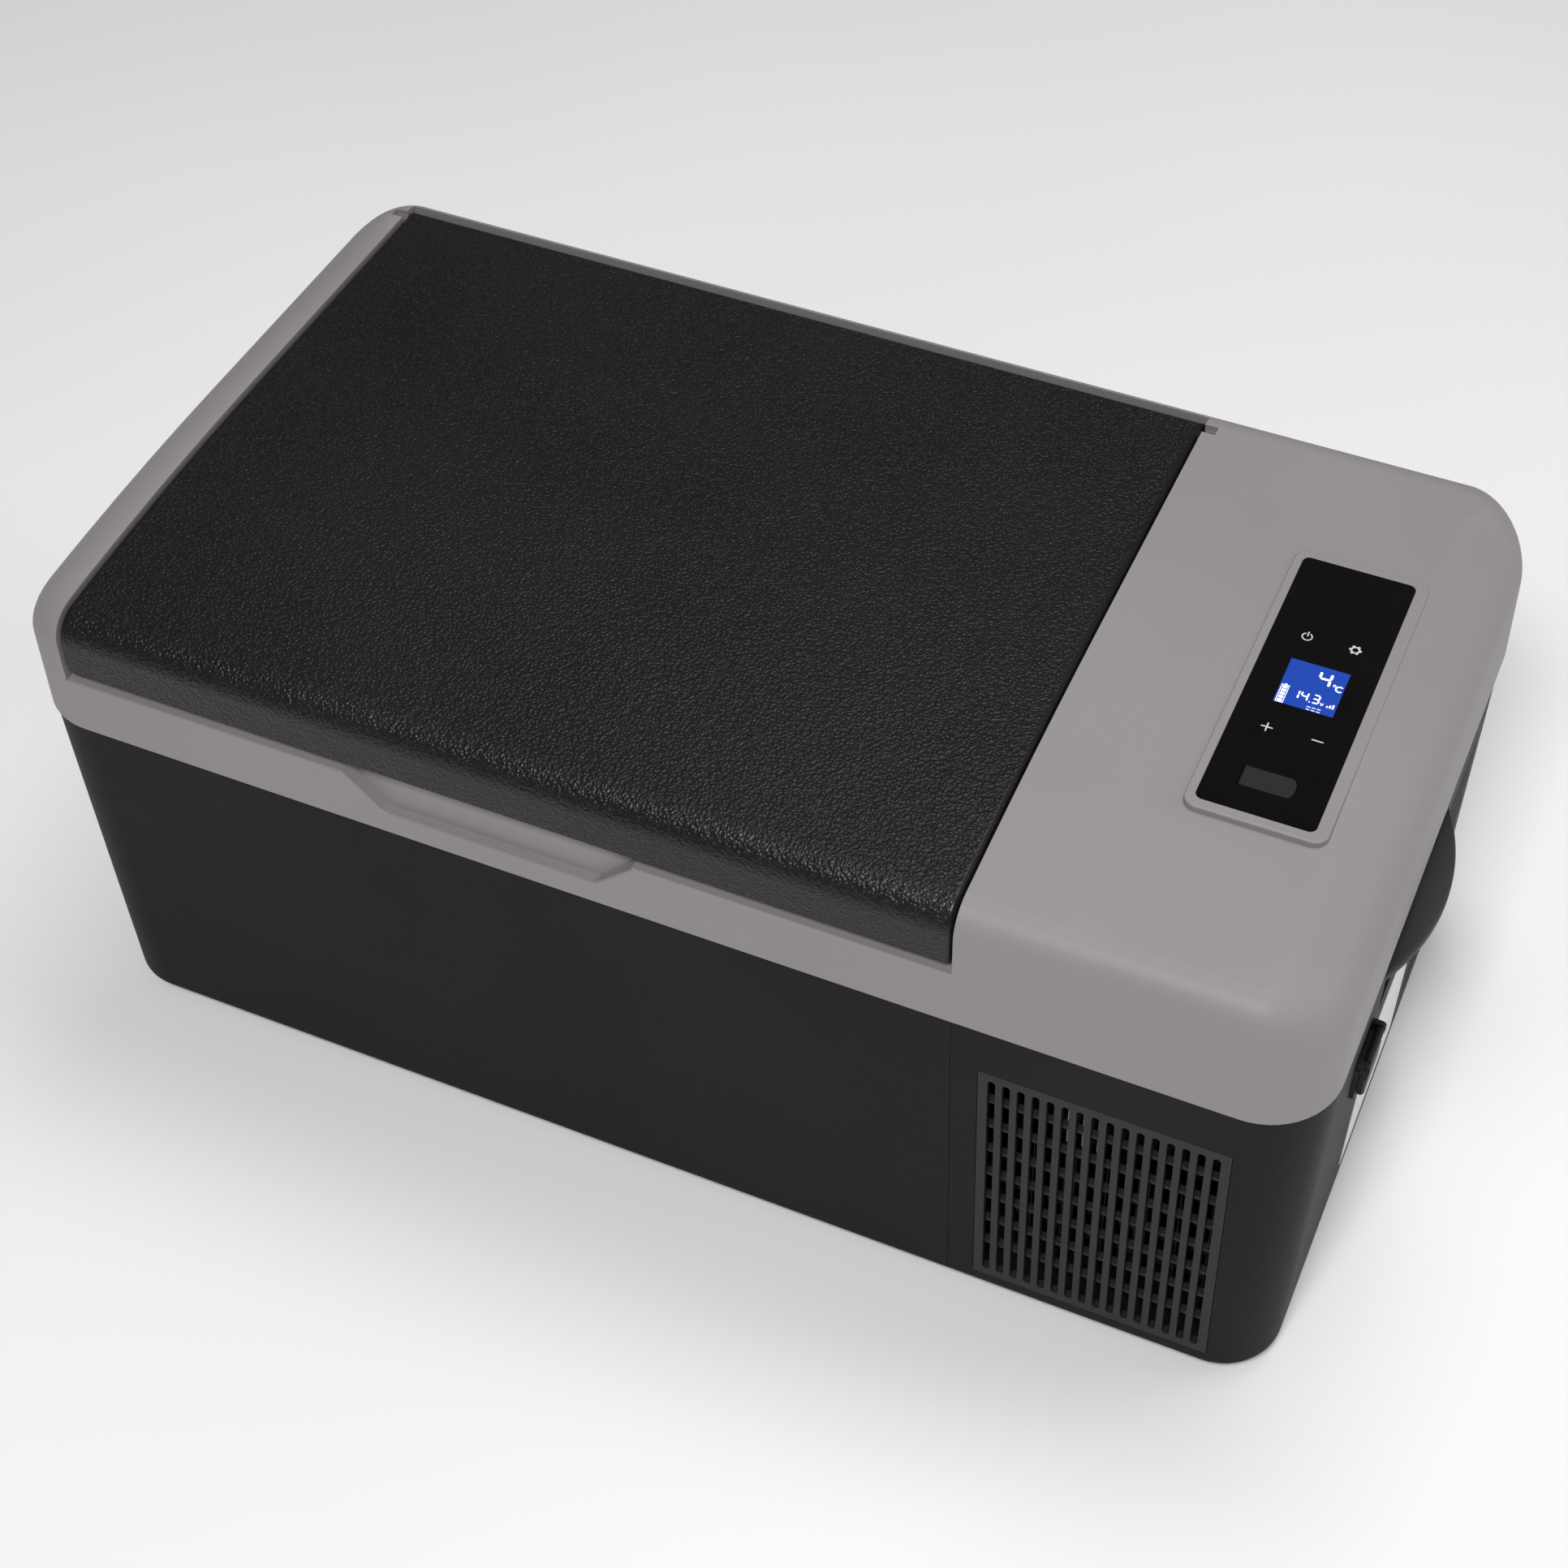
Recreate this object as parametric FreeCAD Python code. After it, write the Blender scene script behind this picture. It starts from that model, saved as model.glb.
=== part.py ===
"""Portable compressor cooler: drafted cabinet, wrap-over lid, top control panel, compressor bay.

Frame: +X along the length towards the compressor bay, +Y to the hinge side, +Z up.
Origin: centre of the outline on the surface that the rubber feet stand on. Millimetres.
"""
import FreeCAD, Part
import math
import os
from FreeCAD import Vector as V

os.makedirs("parts", exist_ok=True)

# ---- driving dimensions -------------------------------------------------------------
HALF_LEN = 288.5            # top cover, half length
HALF_WID = 156.0            # top cover, half width
CORNER_R = 32.0             # plan corner of the top cover
TOP_Z = 260.0               # level part of the cover's top
COVER_LOW_Z = 189.5         # lower edge of the cover, where the cabinet begins
COVER_T = 3.0               # moulded wall of the cover
EDGE_FRONT, EDGE_END, EDGE_BACK = 14.0, 30.0, 15.0      # roundings of the top edge
CROWN_Y, CROWN_R = 0.0, 1400.0          # the top is level behind CROWN_Y and falls away in front of it

FOOT_H = 6.0                # rubber foot, also the height of the cabinet's underside
BASE_HALF_LEN = 281.0
BASE_HALF_WID = 148.0
BASE_CORNER_R = 27.0
BODY_STEP = 1.2             # how far the cabinet stands inside the cover at their joint
BODY_T = 2.5                # moulded wall of the cabinet
SEAM_X, SEAM_GAP = 140.0, 0.2

LID_X0, LID_X1 = -258.5, 139.2
LID_GAP = 1.0               # open gap at each side of the lid
LID_T = 3.0
LID_INSET = 0.6             # how far the lid's skin lies inside the cover's outside form
APRON_Z = 223.5             # lower edge of the lid's front apron
APRON_INNER_Y = -151.7
LEDGE_Z = 217.5             # top of the front band under the apron
DECK_Z = 232.0              # sealing deck around the mouth
STEP_Y = -149.0             # wall behind the apron
POCKET_BACK_Y = 146.5
LID_UNDER_Z = 234.6
SPINE_Y = 134.0             # front face of the lid's solid hinge spine
LID_SIDE_R = 2.5

HINGE_Y, HINGE_Z = 138.0, 252.4
HINGE_NOSE_R = 7.4          # rear edge of the lid, round about the hinge axis
PIN_R, PIN_CLEAR = 2.2, 0.05
PIN_REACH = 5.8             # pin length outside the lid
NOTCH_X = 6.0               # length of the open notch over each pin

CABIN = (-240.0, -116.0, 34.0, 112.0, 114.0)            # x0, y0, floor z, x1, y1
CABIN_R = 18.0
LINER_T = 2.0

PAD = (200.8, -76.0, 258.5, 79.5)                       # raised pad around the glass
PAD_H, PAD_R = 1.0, 6.0
GLASS = (205.0, -71.3, 253.0, 75.0)
GLASS_R, GLASS_T, GLASS_PROUD, GLASS_GAP = 3.0, 1.6, 0.2, 0.15
GLASS_UNDER = GLASS_T - GLASS_PROUD - PAD_H             # glass underside below the cover's top
GLASS_TOP = TOP_Z + PAD_H + GLASS_PROUD
LCD = (217.5, -10.5, 242.0, 15.3)
USB = (218.2, -58.7, 240.0, -48.3)                      # flap over the USB socket
USB_GAP, USB_T, USB_PROUD = 0.3, 2.0, 0.5
USB_BOW = 1.8               # how far the flap's pull end bows out
USB_PIN_R = 0.4
USB_AXIS_X = USB[0] + USB_T / 2
USB_AXIS_Z = GLASS_TOP + USB_PROUD - USB_T / 2

GRILLE = (151.5, 9.0, 256.5, 156.0)                     # x0, z0, x1, z1 on the wall
GRILLE_GAP = 0.3
SLOT_COUNT, SLOT_PITCH, SLOT_W = 16, 6.2, 3.3
SLOT_MARGIN = 4.5           # plain border above and below the slots
GRILLE_T, RIB_T, RIB_COUNT = 2.5, 1.8, 7

SOCKET_AT = (-66.0, 126.0)                              # along the end wall, height on it
LABEL = (-42.0, 19.0, 40.0, 112.0)
GRIP_HALF, GRIP_OUT, GRIP_TOP = 50.0, 12.5, 162.0
GRIP_LEDGE_T, GRIP_DEPTH, GRIP_WALL = 5.0, 14.0, 2.0
GRIP_POCKET_HALF, GRIP_POCKET_LOW = 44.0, 130.0

FOOT_AT = (238.0, 112.0)
FOOT_R = 14.0

BODY_H = COVER_LOW_Z - FOOT_H
DRAFT_FRONT = math.degrees(math.atan((HALF_WID - BODY_STEP - BASE_HALF_WID) / BODY_H))
DRAFT_END = math.degrees(math.atan((HALF_LEN - BODY_STEP - BASE_HALF_LEN) / BODY_H))


# ---- shape helpers ------------------------------------------------------------------
def box(x0, y0, z0, x1, y1, z1):
    return Part.makeBox(x1 - x0, y1 - y0, z1 - z0, V(x0, y0, z0))


def rod(start, end, radius):
    """Solid cylinder between two points."""
    path = end - start
    return Part.makeCylinder(radius, path.Length, start, path)


def rounded_wire(x0, y0, x1, y1, r, z):
    """Rounded rectangle in a level plane."""
    corners = [(x1 - r, y0 + r, 270), (x1 - r, y1 - r, 0), (x0 + r, y1 - r, 90), (x0 + r, y0 + r, 180)]
    arcs = [Part.makeCircle(r, V(x, y, z), V(0, 0, 1), a, a + 90) for x, y, a in corners]
    edges = []
    for arc, following in zip(arcs, arcs[1:] + arcs[:1]):
        edges.append(arc)
        edges.append(Part.makeLine(arc.Vertexes[-1].Point, following.Vertexes[0].Point))
    return Part.Wire(edges)


def rounded_block(x0, y0, x1, y1, r, z0, z1):
    return Part.Face(rounded_wire(x0, y0, x1, y1, r, z0)).extrude(V(0, 0, z1 - z0))


def slot_block(x, z0, z1, width, y0, y1):
    """Upright slot with round ends, running through from y0 to y1."""
    r = width / 2
    left_low, right_low = V(x - r, y0, z0 + r), V(x + r, y0, z0 + r)
    left_high, right_high = V(x - r, y0, z1 - r), V(x + r, y0, z1 - r)
    edges = [
        Part.Arc(left_low, V(x, y0, z0), right_low).toShape(),
        Part.makeLine(right_low, right_high),
        Part.Arc(right_high, V(x, y0, z1), left_high).toShape(),
        Part.makeLine(left_high, left_low),
    ]
    return Part.Face(Part.Wire(edges)).extrude(V(0, y1 - y0, 0))


def fuse(shapes):
    return shapes[0].multiFuse(shapes[1:]).removeSplitter()


def tube(points, radius, bend):
    """Bent tube: straight runs joined by tangent arcs of one bend radius."""
    edges = []
    start = points[0]
    for before, corner, after in zip(points, points[1:], points[2:]):
        into = (corner - before).normalize()
        out = (after - corner).normalize()
        turn = into.getAngle(out)
        setback = bend * math.tan(turn / 2)
        arc_start = corner - into * setback
        arc_end = corner + out * setback
        middle_way = (out - into).normalize()
        arc_mid = corner + middle_way * (bend / math.cos(turn / 2) - bend)
        edges.append(Part.makeLine(start, arc_start))
        edges.append(Part.Arc(arc_start, arc_mid, arc_end).toShape())
        start = arc_end
    edges.append(Part.makeLine(start, points[-1]))
    heading = points[1] - points[0]
    profile = Part.Wire(Part.makeCircle(radius, points[0], heading))
    return Part.Wire(edges).makePipeShell([profile], True, True)


def on_wall(shape, side):
    """Carry a shape from the flat face y = 0 (outside is -Y) onto one of the drafted walls."""
    half, draft, turn = {
        "front": (BASE_HALF_WID, DRAFT_FRONT, 0),
        "right": (BASE_HALF_LEN, DRAFT_END, 90),
        "back": (BASE_HALF_WID, DRAFT_FRONT, 180),
        "left": (BASE_HALF_LEN, DRAFT_END, 270),
    }[side]
    placed = shape.copy()
    placed.rotate(V(0, 0, 0), V(1, 0, 0), draft)
    placed.translate(V(0, -half, FOOT_H))
    placed.rotate(V(0, 0, 0), V(0, 0, 1), turn)
    return placed


def save(name, shape):
    shape.exportStep("parts/" + name + ".step")


# ---- outer forms --------------------------------------------------------------------
def crown_drop(y, radius):
    """How far the crowned top lies below its level part at y."""
    return radius - math.sqrt(radius ** 2 - min(y - CROWN_Y, 0) ** 2)


def crown_prism(inset, z0):
    """Everything under the crowned top: level at the back, an arc towards the front."""
    top, radius = TOP_Z - inset, CROWN_R - inset
    front, back = -HALF_WID - 2, HALF_WID + 2
    middle = (CROWN_Y + front) / 2
    low, far = V(-HALF_LEN - 2, front, z0 - 1), V(-HALF_LEN - 2, back, z0 - 1)
    start = V(low.x, front, top - crown_drop(front, radius))
    through = V(low.x, middle, top - crown_drop(middle, radius))
    crest, rear = V(low.x, CROWN_Y, top), V(low.x, back, top)
    edges = [Part.makeLine(low, start), Part.Arc(start, through, crest).toShape(), Part.makeLine(crest, rear),
             Part.makeLine(rear, far), Part.makeLine(far, low)]
    return Part.Face(Part.Wire(edges)).extrude(V(2 * HALF_LEN + 4, 0, 0))


def is_top_rim(edge, half_len, half_wid, z0):
    """True for the edges where the crowned top meets the side walls."""
    middle = edge.valueAt((edge.FirstParameter + edge.LastParameter) / 2)
    level = edge.BoundBox.ZMin > z0 + 1
    at_wall = abs(abs(middle.x) - half_len) < 0.01 or abs(abs(middle.y) - half_wid) < 0.01
    at_corner = abs(middle.x) > HALF_LEN - CORNER_R and abs(middle.y) > HALF_WID - CORNER_R
    return level and (at_wall or at_corner)


def cover_block(inset, z0):
    """Outside form of the cover, shrunk by inset: plan corners and a rounding that varies.
    The rim's edges join smoothly, so each gives its two radii in the order of one turn round it.
    """
    half_len, half_wid = HALF_LEN - inset, HALF_WID - inset
    block = rounded_block(-half_len, -half_wid, half_len, half_wid, CORNER_R - inset, z0, TOP_Z + 1)
    block = block.common(crown_prism(inset, z0))

    def radius_at(point):
        if abs(point.y + half_wid) < 0.01:
            return EDGE_FRONT - inset
        if abs(point.y - half_wid) < 0.01:
            return EDGE_BACK - inset
        return EDGE_END - inset

    document = FreeCAD.newDocument()
    base = document.addObject("Part::Feature")
    base.Shape = block
    rounding = document.addObject("Part::Fillet")
    rounding.Base = base
    chosen = []
    for number, edge in enumerate(block.Edges, 1):
        if is_top_rim(edge, half_len, half_wid, z0):
            start, end = [edge.valueAt(place) for place in edge.ParameterRange]
            if start.cross(end).z < 0:
                start, end = end, start
            chosen.append((number, radius_at(start), radius_at(end)))
    rounding.Edges = chosen
    document.recompute()
    solid = rounding.Shape.copy()
    FreeCAD.closeDocument(document.Name)
    return solid


def cabinet_block(inset, z0):
    """Outside form of the cabinet and compressor bay, drafted, shrunk by inset."""
    z1 = COVER_LOW_Z
    low = rounded_wire(-BASE_HALF_LEN + inset, -BASE_HALF_WID + inset, BASE_HALF_LEN - inset,
                       BASE_HALF_WID - inset, BASE_CORNER_R - inset, z0)
    top_len, top_wid = HALF_LEN - BODY_STEP - inset, HALF_WID - BODY_STEP - inset
    high = rounded_wire(-top_len, -top_wid, top_len, top_wid, CORNER_R - BODY_STEP - inset, z1)
    block = Part.makeLoft([low, high], True, True)
    edges = [edge for edge in block.Edges if edge.BoundBox.ZMax < z0 + 0.01]
    return block.makeFillet(5.0 - inset, edges)


def grille_panel(width, height, slots):
    """Flush insert with upright slots; level ribs stand behind the bars, a lip behind the wall."""
    panel = box(0, 0, 0, width, GRILLE_T, height)
    window = box(3, 0, 3, width - 3, 10, height - 3)
    joint = box(0, GRILLE_T, 0, width, GRILLE_T + 0.3, height).cut(window)
    lip = box(-4, GRILLE_T + 0.2, -4, width + 4, GRILLE_T + 2, height + 4).cut(window)
    first = (width - (slots - 1) * SLOT_PITCH) / 2
    z0, z1 = SLOT_MARGIN, height - SLOT_MARGIN
    cells = RIB_COUNT + 1
    ribs = []
    for index in range(1, cells):
        z = z0 + (z1 - z0) * index / cells
        ribs.append(box(2, GRILLE_T, z - RIB_T / 2, width - 2, GRILLE_T + 3, z + RIB_T / 2))
    openings = [slot_block(first + n * SLOT_PITCH, z0, z1, SLOT_W, -1, GRILLE_T) for n in range(slots)]
    return fuse([panel.cut(openings), joint, lip] + ribs)


# ---- cabinet and compressor bay shells ----------------------------------------------
END_GRILLE = (51.0, 12.0, 117.0, 154.0)
SOCKET_HALF_W, SOCKET_HALF_H = 9.0, 7.0
GRIP_HOLE = (-46.0, 128.0, 46.0, 159.0)
VENT_SLOTS_X = [165.0, 180.0, 195.0, 225.0, 240.0, 255.0]
TUBE_PASSES_Y, TUBE_PASS_Z, TUBE_R = [-60.0, 60.0], 176.0, 3.0
SCREW_R = 2.0


def wall_hole(x0, z0, x1, z1, side):
    return on_wall(box(x0, -5, z0, x1, 12, z1), side)


def body_shells():
    """One drafted tub, parted at the seam; the cabinet side carries the bulkhead."""
    outer = cabinet_block(0, FOOT_H)
    tub = outer.cut(cabinet_block(BODY_T, FOOT_H + BODY_T))
    far = 400
    cabinet_side = box(-far, -far, 0, SEAM_X - SEAM_GAP / 2, far, far)
    bay_side = box(SEAM_X + SEAM_GAP / 2, -far, 0, far, far, far)
    bulkhead = outer.common(box(SEAM_X - 2.75, -far, FOOT_H, SEAM_X - SEAM_GAP / 2, far, far))
    cabinet = fuse([tub.common(cabinet_side), bulkhead])
    bay = tub.common(bay_side)
    gx0, gz0, gx1, gz1 = GRILLE
    bay = bay.cut(wall_hole(gx0, gz0, gx1, gz1, "front"))
    bay = bay.cut(wall_hole(-gx1, gz0, -gx0, gz1, "back"))
    ex0, ez0, ex1, ez1 = END_GRILLE
    bay = bay.cut(wall_hole(ex0, ez0, ex1, ez1, "right"))
    sx, sz = SOCKET_AT
    half_w, half_h = SOCKET_HALF_W, SOCKET_HALF_H
    bay = bay.cut(wall_hole(sx - half_w, sz - half_h, sx + half_w, sz + half_h, "right"))
    bay = bay.cut(wall_hole(*GRIP_HOLE, "right"))
    cabinet = cabinet.cut(wall_hole(*GRIP_HOLE, "left"))
    for x in VENT_SLOTS_X:
        bay = bay.cut(box(x, -60, 0, x + SLOT_W, 60, FOOT_H + BODY_T))
    for y in TUBE_PASSES_Y:
        cabinet = cabinet.cut(rod(V(130, y, TUBE_PASS_Z), V(150, y, TUBE_PASS_Z), TUBE_R))
    for centre in foot_centres():
        hole = rod(V(centre.x, centre.y, 0), V(centre.x, centre.y, 20), SCREW_R)
        cabinet, bay = cabinet.cut(hole), bay.cut(hole)
    return cabinet, bay


def foot_centres():
    fx, fy = FOOT_AT
    return [V(x, y, 0) for x in (-fx, fx) for y in (-fy, fy)]


def foot(centre):
    """Rubber foot: a tapered disc with a sunk hole for its screw."""
    cone = Part.makeCone(FOOT_R - 1.5, FOOT_R, FOOT_H, centre)
    sink = rod(centre, centre + V(0, 0, 3), 4.2)
    return cone.cut(sink).cut(rod(centre, centre + V(0, 0, FOOT_H), SCREW_R))


def foot_screws():
    screws = []
    for centre in foot_centres():
        head = rod(centre + V(0, 0, 0.8), centre + V(0, 0, 3), 3.8)
        shank = rod(centre + V(0, 0, 3), centre + V(0, 0, 13), SCREW_R)
        screws.append(fuse([head, shank]))
    return Part.makeCompound(screws)


# ---- top cover ----------------------------------------------------------------------
RECESS = [(-127.0, LEDGE_Z), (-109.0, 200.5), (-13.0, 200.5), (5.0, LEDGE_Z)]    # x, z on the band
RECESS_Y = -150.6           # back of the level ledge inside the recess
RECESS_TOP_Y = -146.5       # where its leaning wall reaches the apron's height
RECESS_LIP_R = 6.0


def recess_block(grow):
    """Finger recess under the apron: the ledge dips, and a wall behind it leans inwards."""
    (xa, za), (xb, zb), (xc, zc), (xd, zd) = RECESS
    high = APRON_Z + 1
    outline = [(xa - grow, high), (xa - grow, za), (xb - grow, zb - grow), (xc + grow, zc - grow),
               (xd + grow, zd), (xd + grow, high)]
    front = -HALF_WID - 1
    points = [V(x, front, z) for x, z in outline]
    prism = Part.Face(Part.makePolygon(points + points[:1])).extrude(V(0, 14, 0))
    turns = [edge for edge in prism.Edges if edge.BoundBox.XLength < 0.01
             and edge.BoundBox.ZMax < LEDGE_Z + 0.01 and edge.BoundBox.YLength > 13]
    prism = prism.makeFillet(RECESS_LIP_R, turns)
    back, back_top = RECESS_Y + grow, RECESS_TOP_Y + grow
    profile = [V(xa - 50, front, 0), V(xa - 50, back, 0), V(xa - 50, back, RECESS[1][1]),
               V(xa - 50, back_top, high), V(xa - 50, front, high)]
    lean = Part.Face(Part.makePolygon(profile + profile[:1])).extrude(V(xd - xa + 100, 0, 0))
    return prism.common(lean)


def is_band_rim(edge):
    """True for the front upper edge of the band, down and round the finger recess."""
    box_of = edge.BoundBox
    on_front = abs(box_of.YMin + HALF_WID) < 0.01 and abs(box_of.YMax + HALF_WID) < 0.01
    between = box_of.ZMin > COVER_LOW_Z + 5 and box_of.ZMax < LEDGE_Z + 0.1
    return on_front and between


def top_cover():
    """Moulded frame: control top, front band with ledge, lid pocket, sealing deck."""
    outer = cover_block(0, COVER_LOW_Z)
    shell = outer.cut(cover_block(COVER_T, COVER_LOW_Z - 5))
    x0, x1 = LID_X0 - LID_GAP, LID_X1 + LID_GAP
    t = COVER_T
    walls = box(x0 - t, STEP_Y, DECK_Z - t, x1 + t, POCKET_BACK_Y + t, TOP_Z)
    ledge = box(x0 - t, -HALF_WID, LEDGE_Z - t, x1 + t, STEP_Y + t, LEDGE_Z)
    step = box(x0 - t, STEP_Y, LEDGE_Z - t, x1 + t, STEP_Y + t, DECK_Z)
    cheeks = [box(x, -HALF_WID, LEDGE_Z - t, x + t, STEP_Y, TOP_Z) for x in (x0 - t, x1)]
    recess_wall = recess_block(2.0)
    added = fuse([walls, ledge, step, recess_wall] + cheeks).common(outer)
    cover = fuse([shell, added])
    cover = cover.cut(box(x0, -300, LEDGE_Z, x1, STEP_Y, 300))
    cover = cover.cut(box(x0, STEP_Y - 1, DECK_Z, x1, POCKET_BACK_Y, 300))
    cover = cover.cut(recess_block(0))
    cover = cover.makeFillet(1.0, [edge for edge in cover.Edges if is_band_rim(edge)])
    cx0, cy0, cz, cx1, cy1 = CABIN
    cover = cover.cut(rounded_block(cx0, cy0, cx1, cy1, CABIN_R, DECK_Z - 10, DECK_Z + 1))
    cover = cover.cut(glass_block(GLASS_GAP, TOP_Z - GLASS_UNDER, TOP_Z + 5))
    cover = cover.cut(board_well())
    for x_sign, x in ((1, x1), (-1, x0)):
        reach = x + x_sign * NOTCH_X
        low, high = sorted((x, reach))
        cover = cover.cut(box(low, HINGE_Y - 2.6, HINGE_Z - 4, high, HINGE_Y + 2.6, 300))
        low, high = sorted((x, reach + x_sign * 1.0))
        cover = cover.cut(box(low, HINGE_Y - 4.5, HINGE_Z - 6.4, high, HINGE_Y + 4.5, TOP_Z - t))
    return cover


def glass_block(grow, z0, z1):
    x0, y0, x1, y1 = GLASS
    return rounded_block(x0 - grow, y0 - grow, x1 + grow, y1 + grow, GLASS_R + grow, z0, z1)


def board_well():
    x0, y0, x1, y1 = GLASS
    return box(x0 + 4, y0 + 5, TOP_Z - 8, x1 - 4, y1 - 5, TOP_Z + 5)


def hinge_cradles():
    """Open half-round seats that the lid's pins drop into."""
    cradles = []
    for x_sign, x in ((1, LID_X1 + LID_GAP + 0.2), (-1, LID_X0 - LID_GAP - 0.2)):
        low, high = sorted((x, x + x_sign * (NOTCH_X + 0.6)))
        block = box(low, HINGE_Y - 4.4, HINGE_Z - 6.2, high, HINGE_Y + 4.4, TOP_Z - COVER_T)
        low, high = sorted((x - x_sign, x + x_sign * (NOTCH_X - 0.2)))
        r = PIN_R + PIN_CLEAR
        seat = rod(V(low, HINGE_Y, HINGE_Z), V(high, HINGE_Y, HINGE_Z), r)
        mouth = box(low, HINGE_Y - r, HINGE_Z, high, HINGE_Y + r, TOP_Z)
        cradles.append(block.cut(fuse([seat, mouth])))
    return Part.makeCompound(cradles)


# ---- insulated cabin ----------------------------------------------------------------
def cabin_block(grow, z1):
    x0, y0, z0, x1, y1 = CABIN
    block = rounded_block(x0 - grow, y0 - grow, x1 + grow, y1 + grow, CABIN_R + grow, z0 - grow, z1)
    low = [edge for edge in block.Edges if edge.BoundBox.ZMax < z0 - grow + 0.01]
    return block.makeFillet(10.0 + grow, low)


def inner_liner():
    """Seamless tub with a flange that hangs under the sealing deck."""
    x0, y0, z0, x1, y1 = CABIN
    under_deck = DECK_Z - COVER_T
    flange = rounded_block(x0 - 12, y0 - 12, x1 + 12, y1 + 12, CABIN_R + 12, under_deck - 2.5, under_deck)
    return fuse([cabin_block(LINER_T, under_deck), flange]).cut(cabin_block(0, DECK_Z))


EVAPORATOR_LEVELS = [60.0, 90.0, 120.0, 150.0, TUBE_PASS_Z]
EVAPORATOR_OFF = 7.0


def evaporator_tube():
    """Refrigerant tube that wraps three sides of the liner, level after level."""
    x0, y0, z0, x1, y1 = CABIN
    off = EVAPORATOR_OFF
    turn_x = x1 - 20
    front, back, left = y0 - off, y1 + off, x0 - off
    points = [V(146, TUBE_PASSES_Y[0], TUBE_PASS_Z), V(126, TUBE_PASSES_Y[0], TUBE_PASS_Z),
              V(126, front, TUBE_PASS_Z)]
    heading_left = True
    for level in reversed(EVAPORATOR_LEVELS):
        ends = [front, back] if heading_left else [back, front]
        if level != TUBE_PASS_Z:
            points.append(V(turn_x, ends[0], level))
        points.append(V(left, ends[0], level))
        points.append(V(left, ends[1], level))
        if level != EVAPORATOR_LEVELS[0]:
            points.append(V(turn_x, ends[1], level))
        heading_left = not heading_left
    low = EVAPORATOR_LEVELS[0]
    points += [V(turn_x + 34, back, low), V(turn_x + 34, TUBE_PASSES_Y[1], low),
               V(turn_x + 34, TUBE_PASSES_Y[1], TUBE_PASS_Z), V(146, TUBE_PASSES_Y[1], TUBE_PASS_Z)]
    return tube(points, TUBE_R, 9.0)


def cabinet_foam(liner, coil):
    """Rigid foam that fills the space between the tub, the liner and the bulkhead."""
    core = cabinet_block(BODY_T, FOOT_H + BODY_T)
    core = core.common(box(-400, -400, 0, SEAM_X - 2.75, 400, 400))
    foam = core.cut(cabin_block(LINER_T, 300)).cut(coil)
    pocket = on_wall(box(-48, -5, 126, 48, 18, 161), "left")
    foam = foam.cut(pocket)
    for centre in foot_centres():
        foam = foam.cut(rod(V(centre.x, centre.y, 0), V(centre.x, centre.y, 16), 5))
    return foam


def cabin_light():
    """Small lens let into the right-hand wall of the liner."""
    x1 = CABIN[3]
    return box(x1 - 2.5, -14, 196, x1, 14, 206)


# ---- grips --------------------------------------------------------------------------
def grip():
    """Half-moon ledge over a finger pocket let into the end wall."""
    top, t = GRIP_TOP, GRIP_LEDGE_T
    arc = Part.Arc(V(-GRIP_HALF, 0, top), V(0, -GRIP_OUT, top), V(GRIP_HALF, 0, top)).toShape()
    chord = Part.makeLine(V(GRIP_HALF, 0, top), V(-GRIP_HALF, 0, top))
    ledge = Part.Face(Part.Wire([arc, chord])).extrude(V(0, 0, -t))
    rim = [edge for edge in ledge.Edges if edge.BoundBox.YMin < -GRIP_OUT + 1]
    ledge = ledge.makeFillet(1.5, rim)
    x0, z0, x1, z1 = GRIP_HOLE
    pocket = box(x0, 0, z0, x1, GRIP_DEPTH + GRIP_WALL, z1)
    half, w = GRIP_POCKET_HALF, GRIP_WALL
    hollow = box(-half, -1, GRIP_POCKET_LOW, half, GRIP_DEPTH, top - t)
    return fuse([ledge, pocket]).cut(hollow)


# ---- control panel ------------------------------------------------------------------
def panel_pad():
    """Raised pad round the glass, moulded with soft upper edges."""
    x0, y0, x1, y1 = PAD
    pad = rounded_block(x0, y0, x1, y1, PAD_R, TOP_Z - 5, TOP_Z + PAD_H)
    rim = [edge for edge in pad.Edges if edge.BoundBox.ZMin > TOP_Z + PAD_H - 0.01]
    pad = pad.makeFillet(0.9, rim).cut(glass_block(GLASS_GAP, TOP_Z - GLASS_UNDER, TOP_Z + 5))
    return pad.cut(board_well()).cut(cover_block(0, COVER_LOW_Z))


def usb_pins(radius, reach):
    near, far = USB[1] - reach, USB[3] + reach
    return rod(V(USB_AXIS_X, near, USB_AXIS_Z), V(USB_AXIS_X, far, USB_AXIS_Z), radius)


def flap_block(left, grow, z0, z1):
    """The flap's plan from left to its bowed pull end, grown all round, between two heights."""
    x0, y0, x1, y1 = USB
    near, far = V(x1 - USB_BOW, y0 - grow, z0), V(x1 - USB_BOW, y1 + grow, z0)
    tip = V(x1 + grow, (y0 + y1) / 2, z0)
    sides = Part.makePolygon([far, V(left, far.y, z0), V(left, near.y, z0), near])
    outline = Part.Wire(sides.Edges + [Part.Arc(near, tip, far).toShape()])
    return Part.Face(outline).extrude(V(0, 0, z1 - z0))


def panel_glass():
    """Gloss overlay with a window for the display and an opening for the flap."""
    glass = glass_block(0, GLASS_TOP - GLASS_T, GLASS_TOP)
    x0, y0, x1, y1 = LCD
    glass = glass.cut(box(x0, y0, 0, x1, y1, 300))
    glass = glass.cut(flap_block(USB[0] - USB_GAP, USB_GAP, 0, 300))
    return glass.cut(usb_pins(USB_PIN_R + PIN_CLEAR, 1.3))


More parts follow.
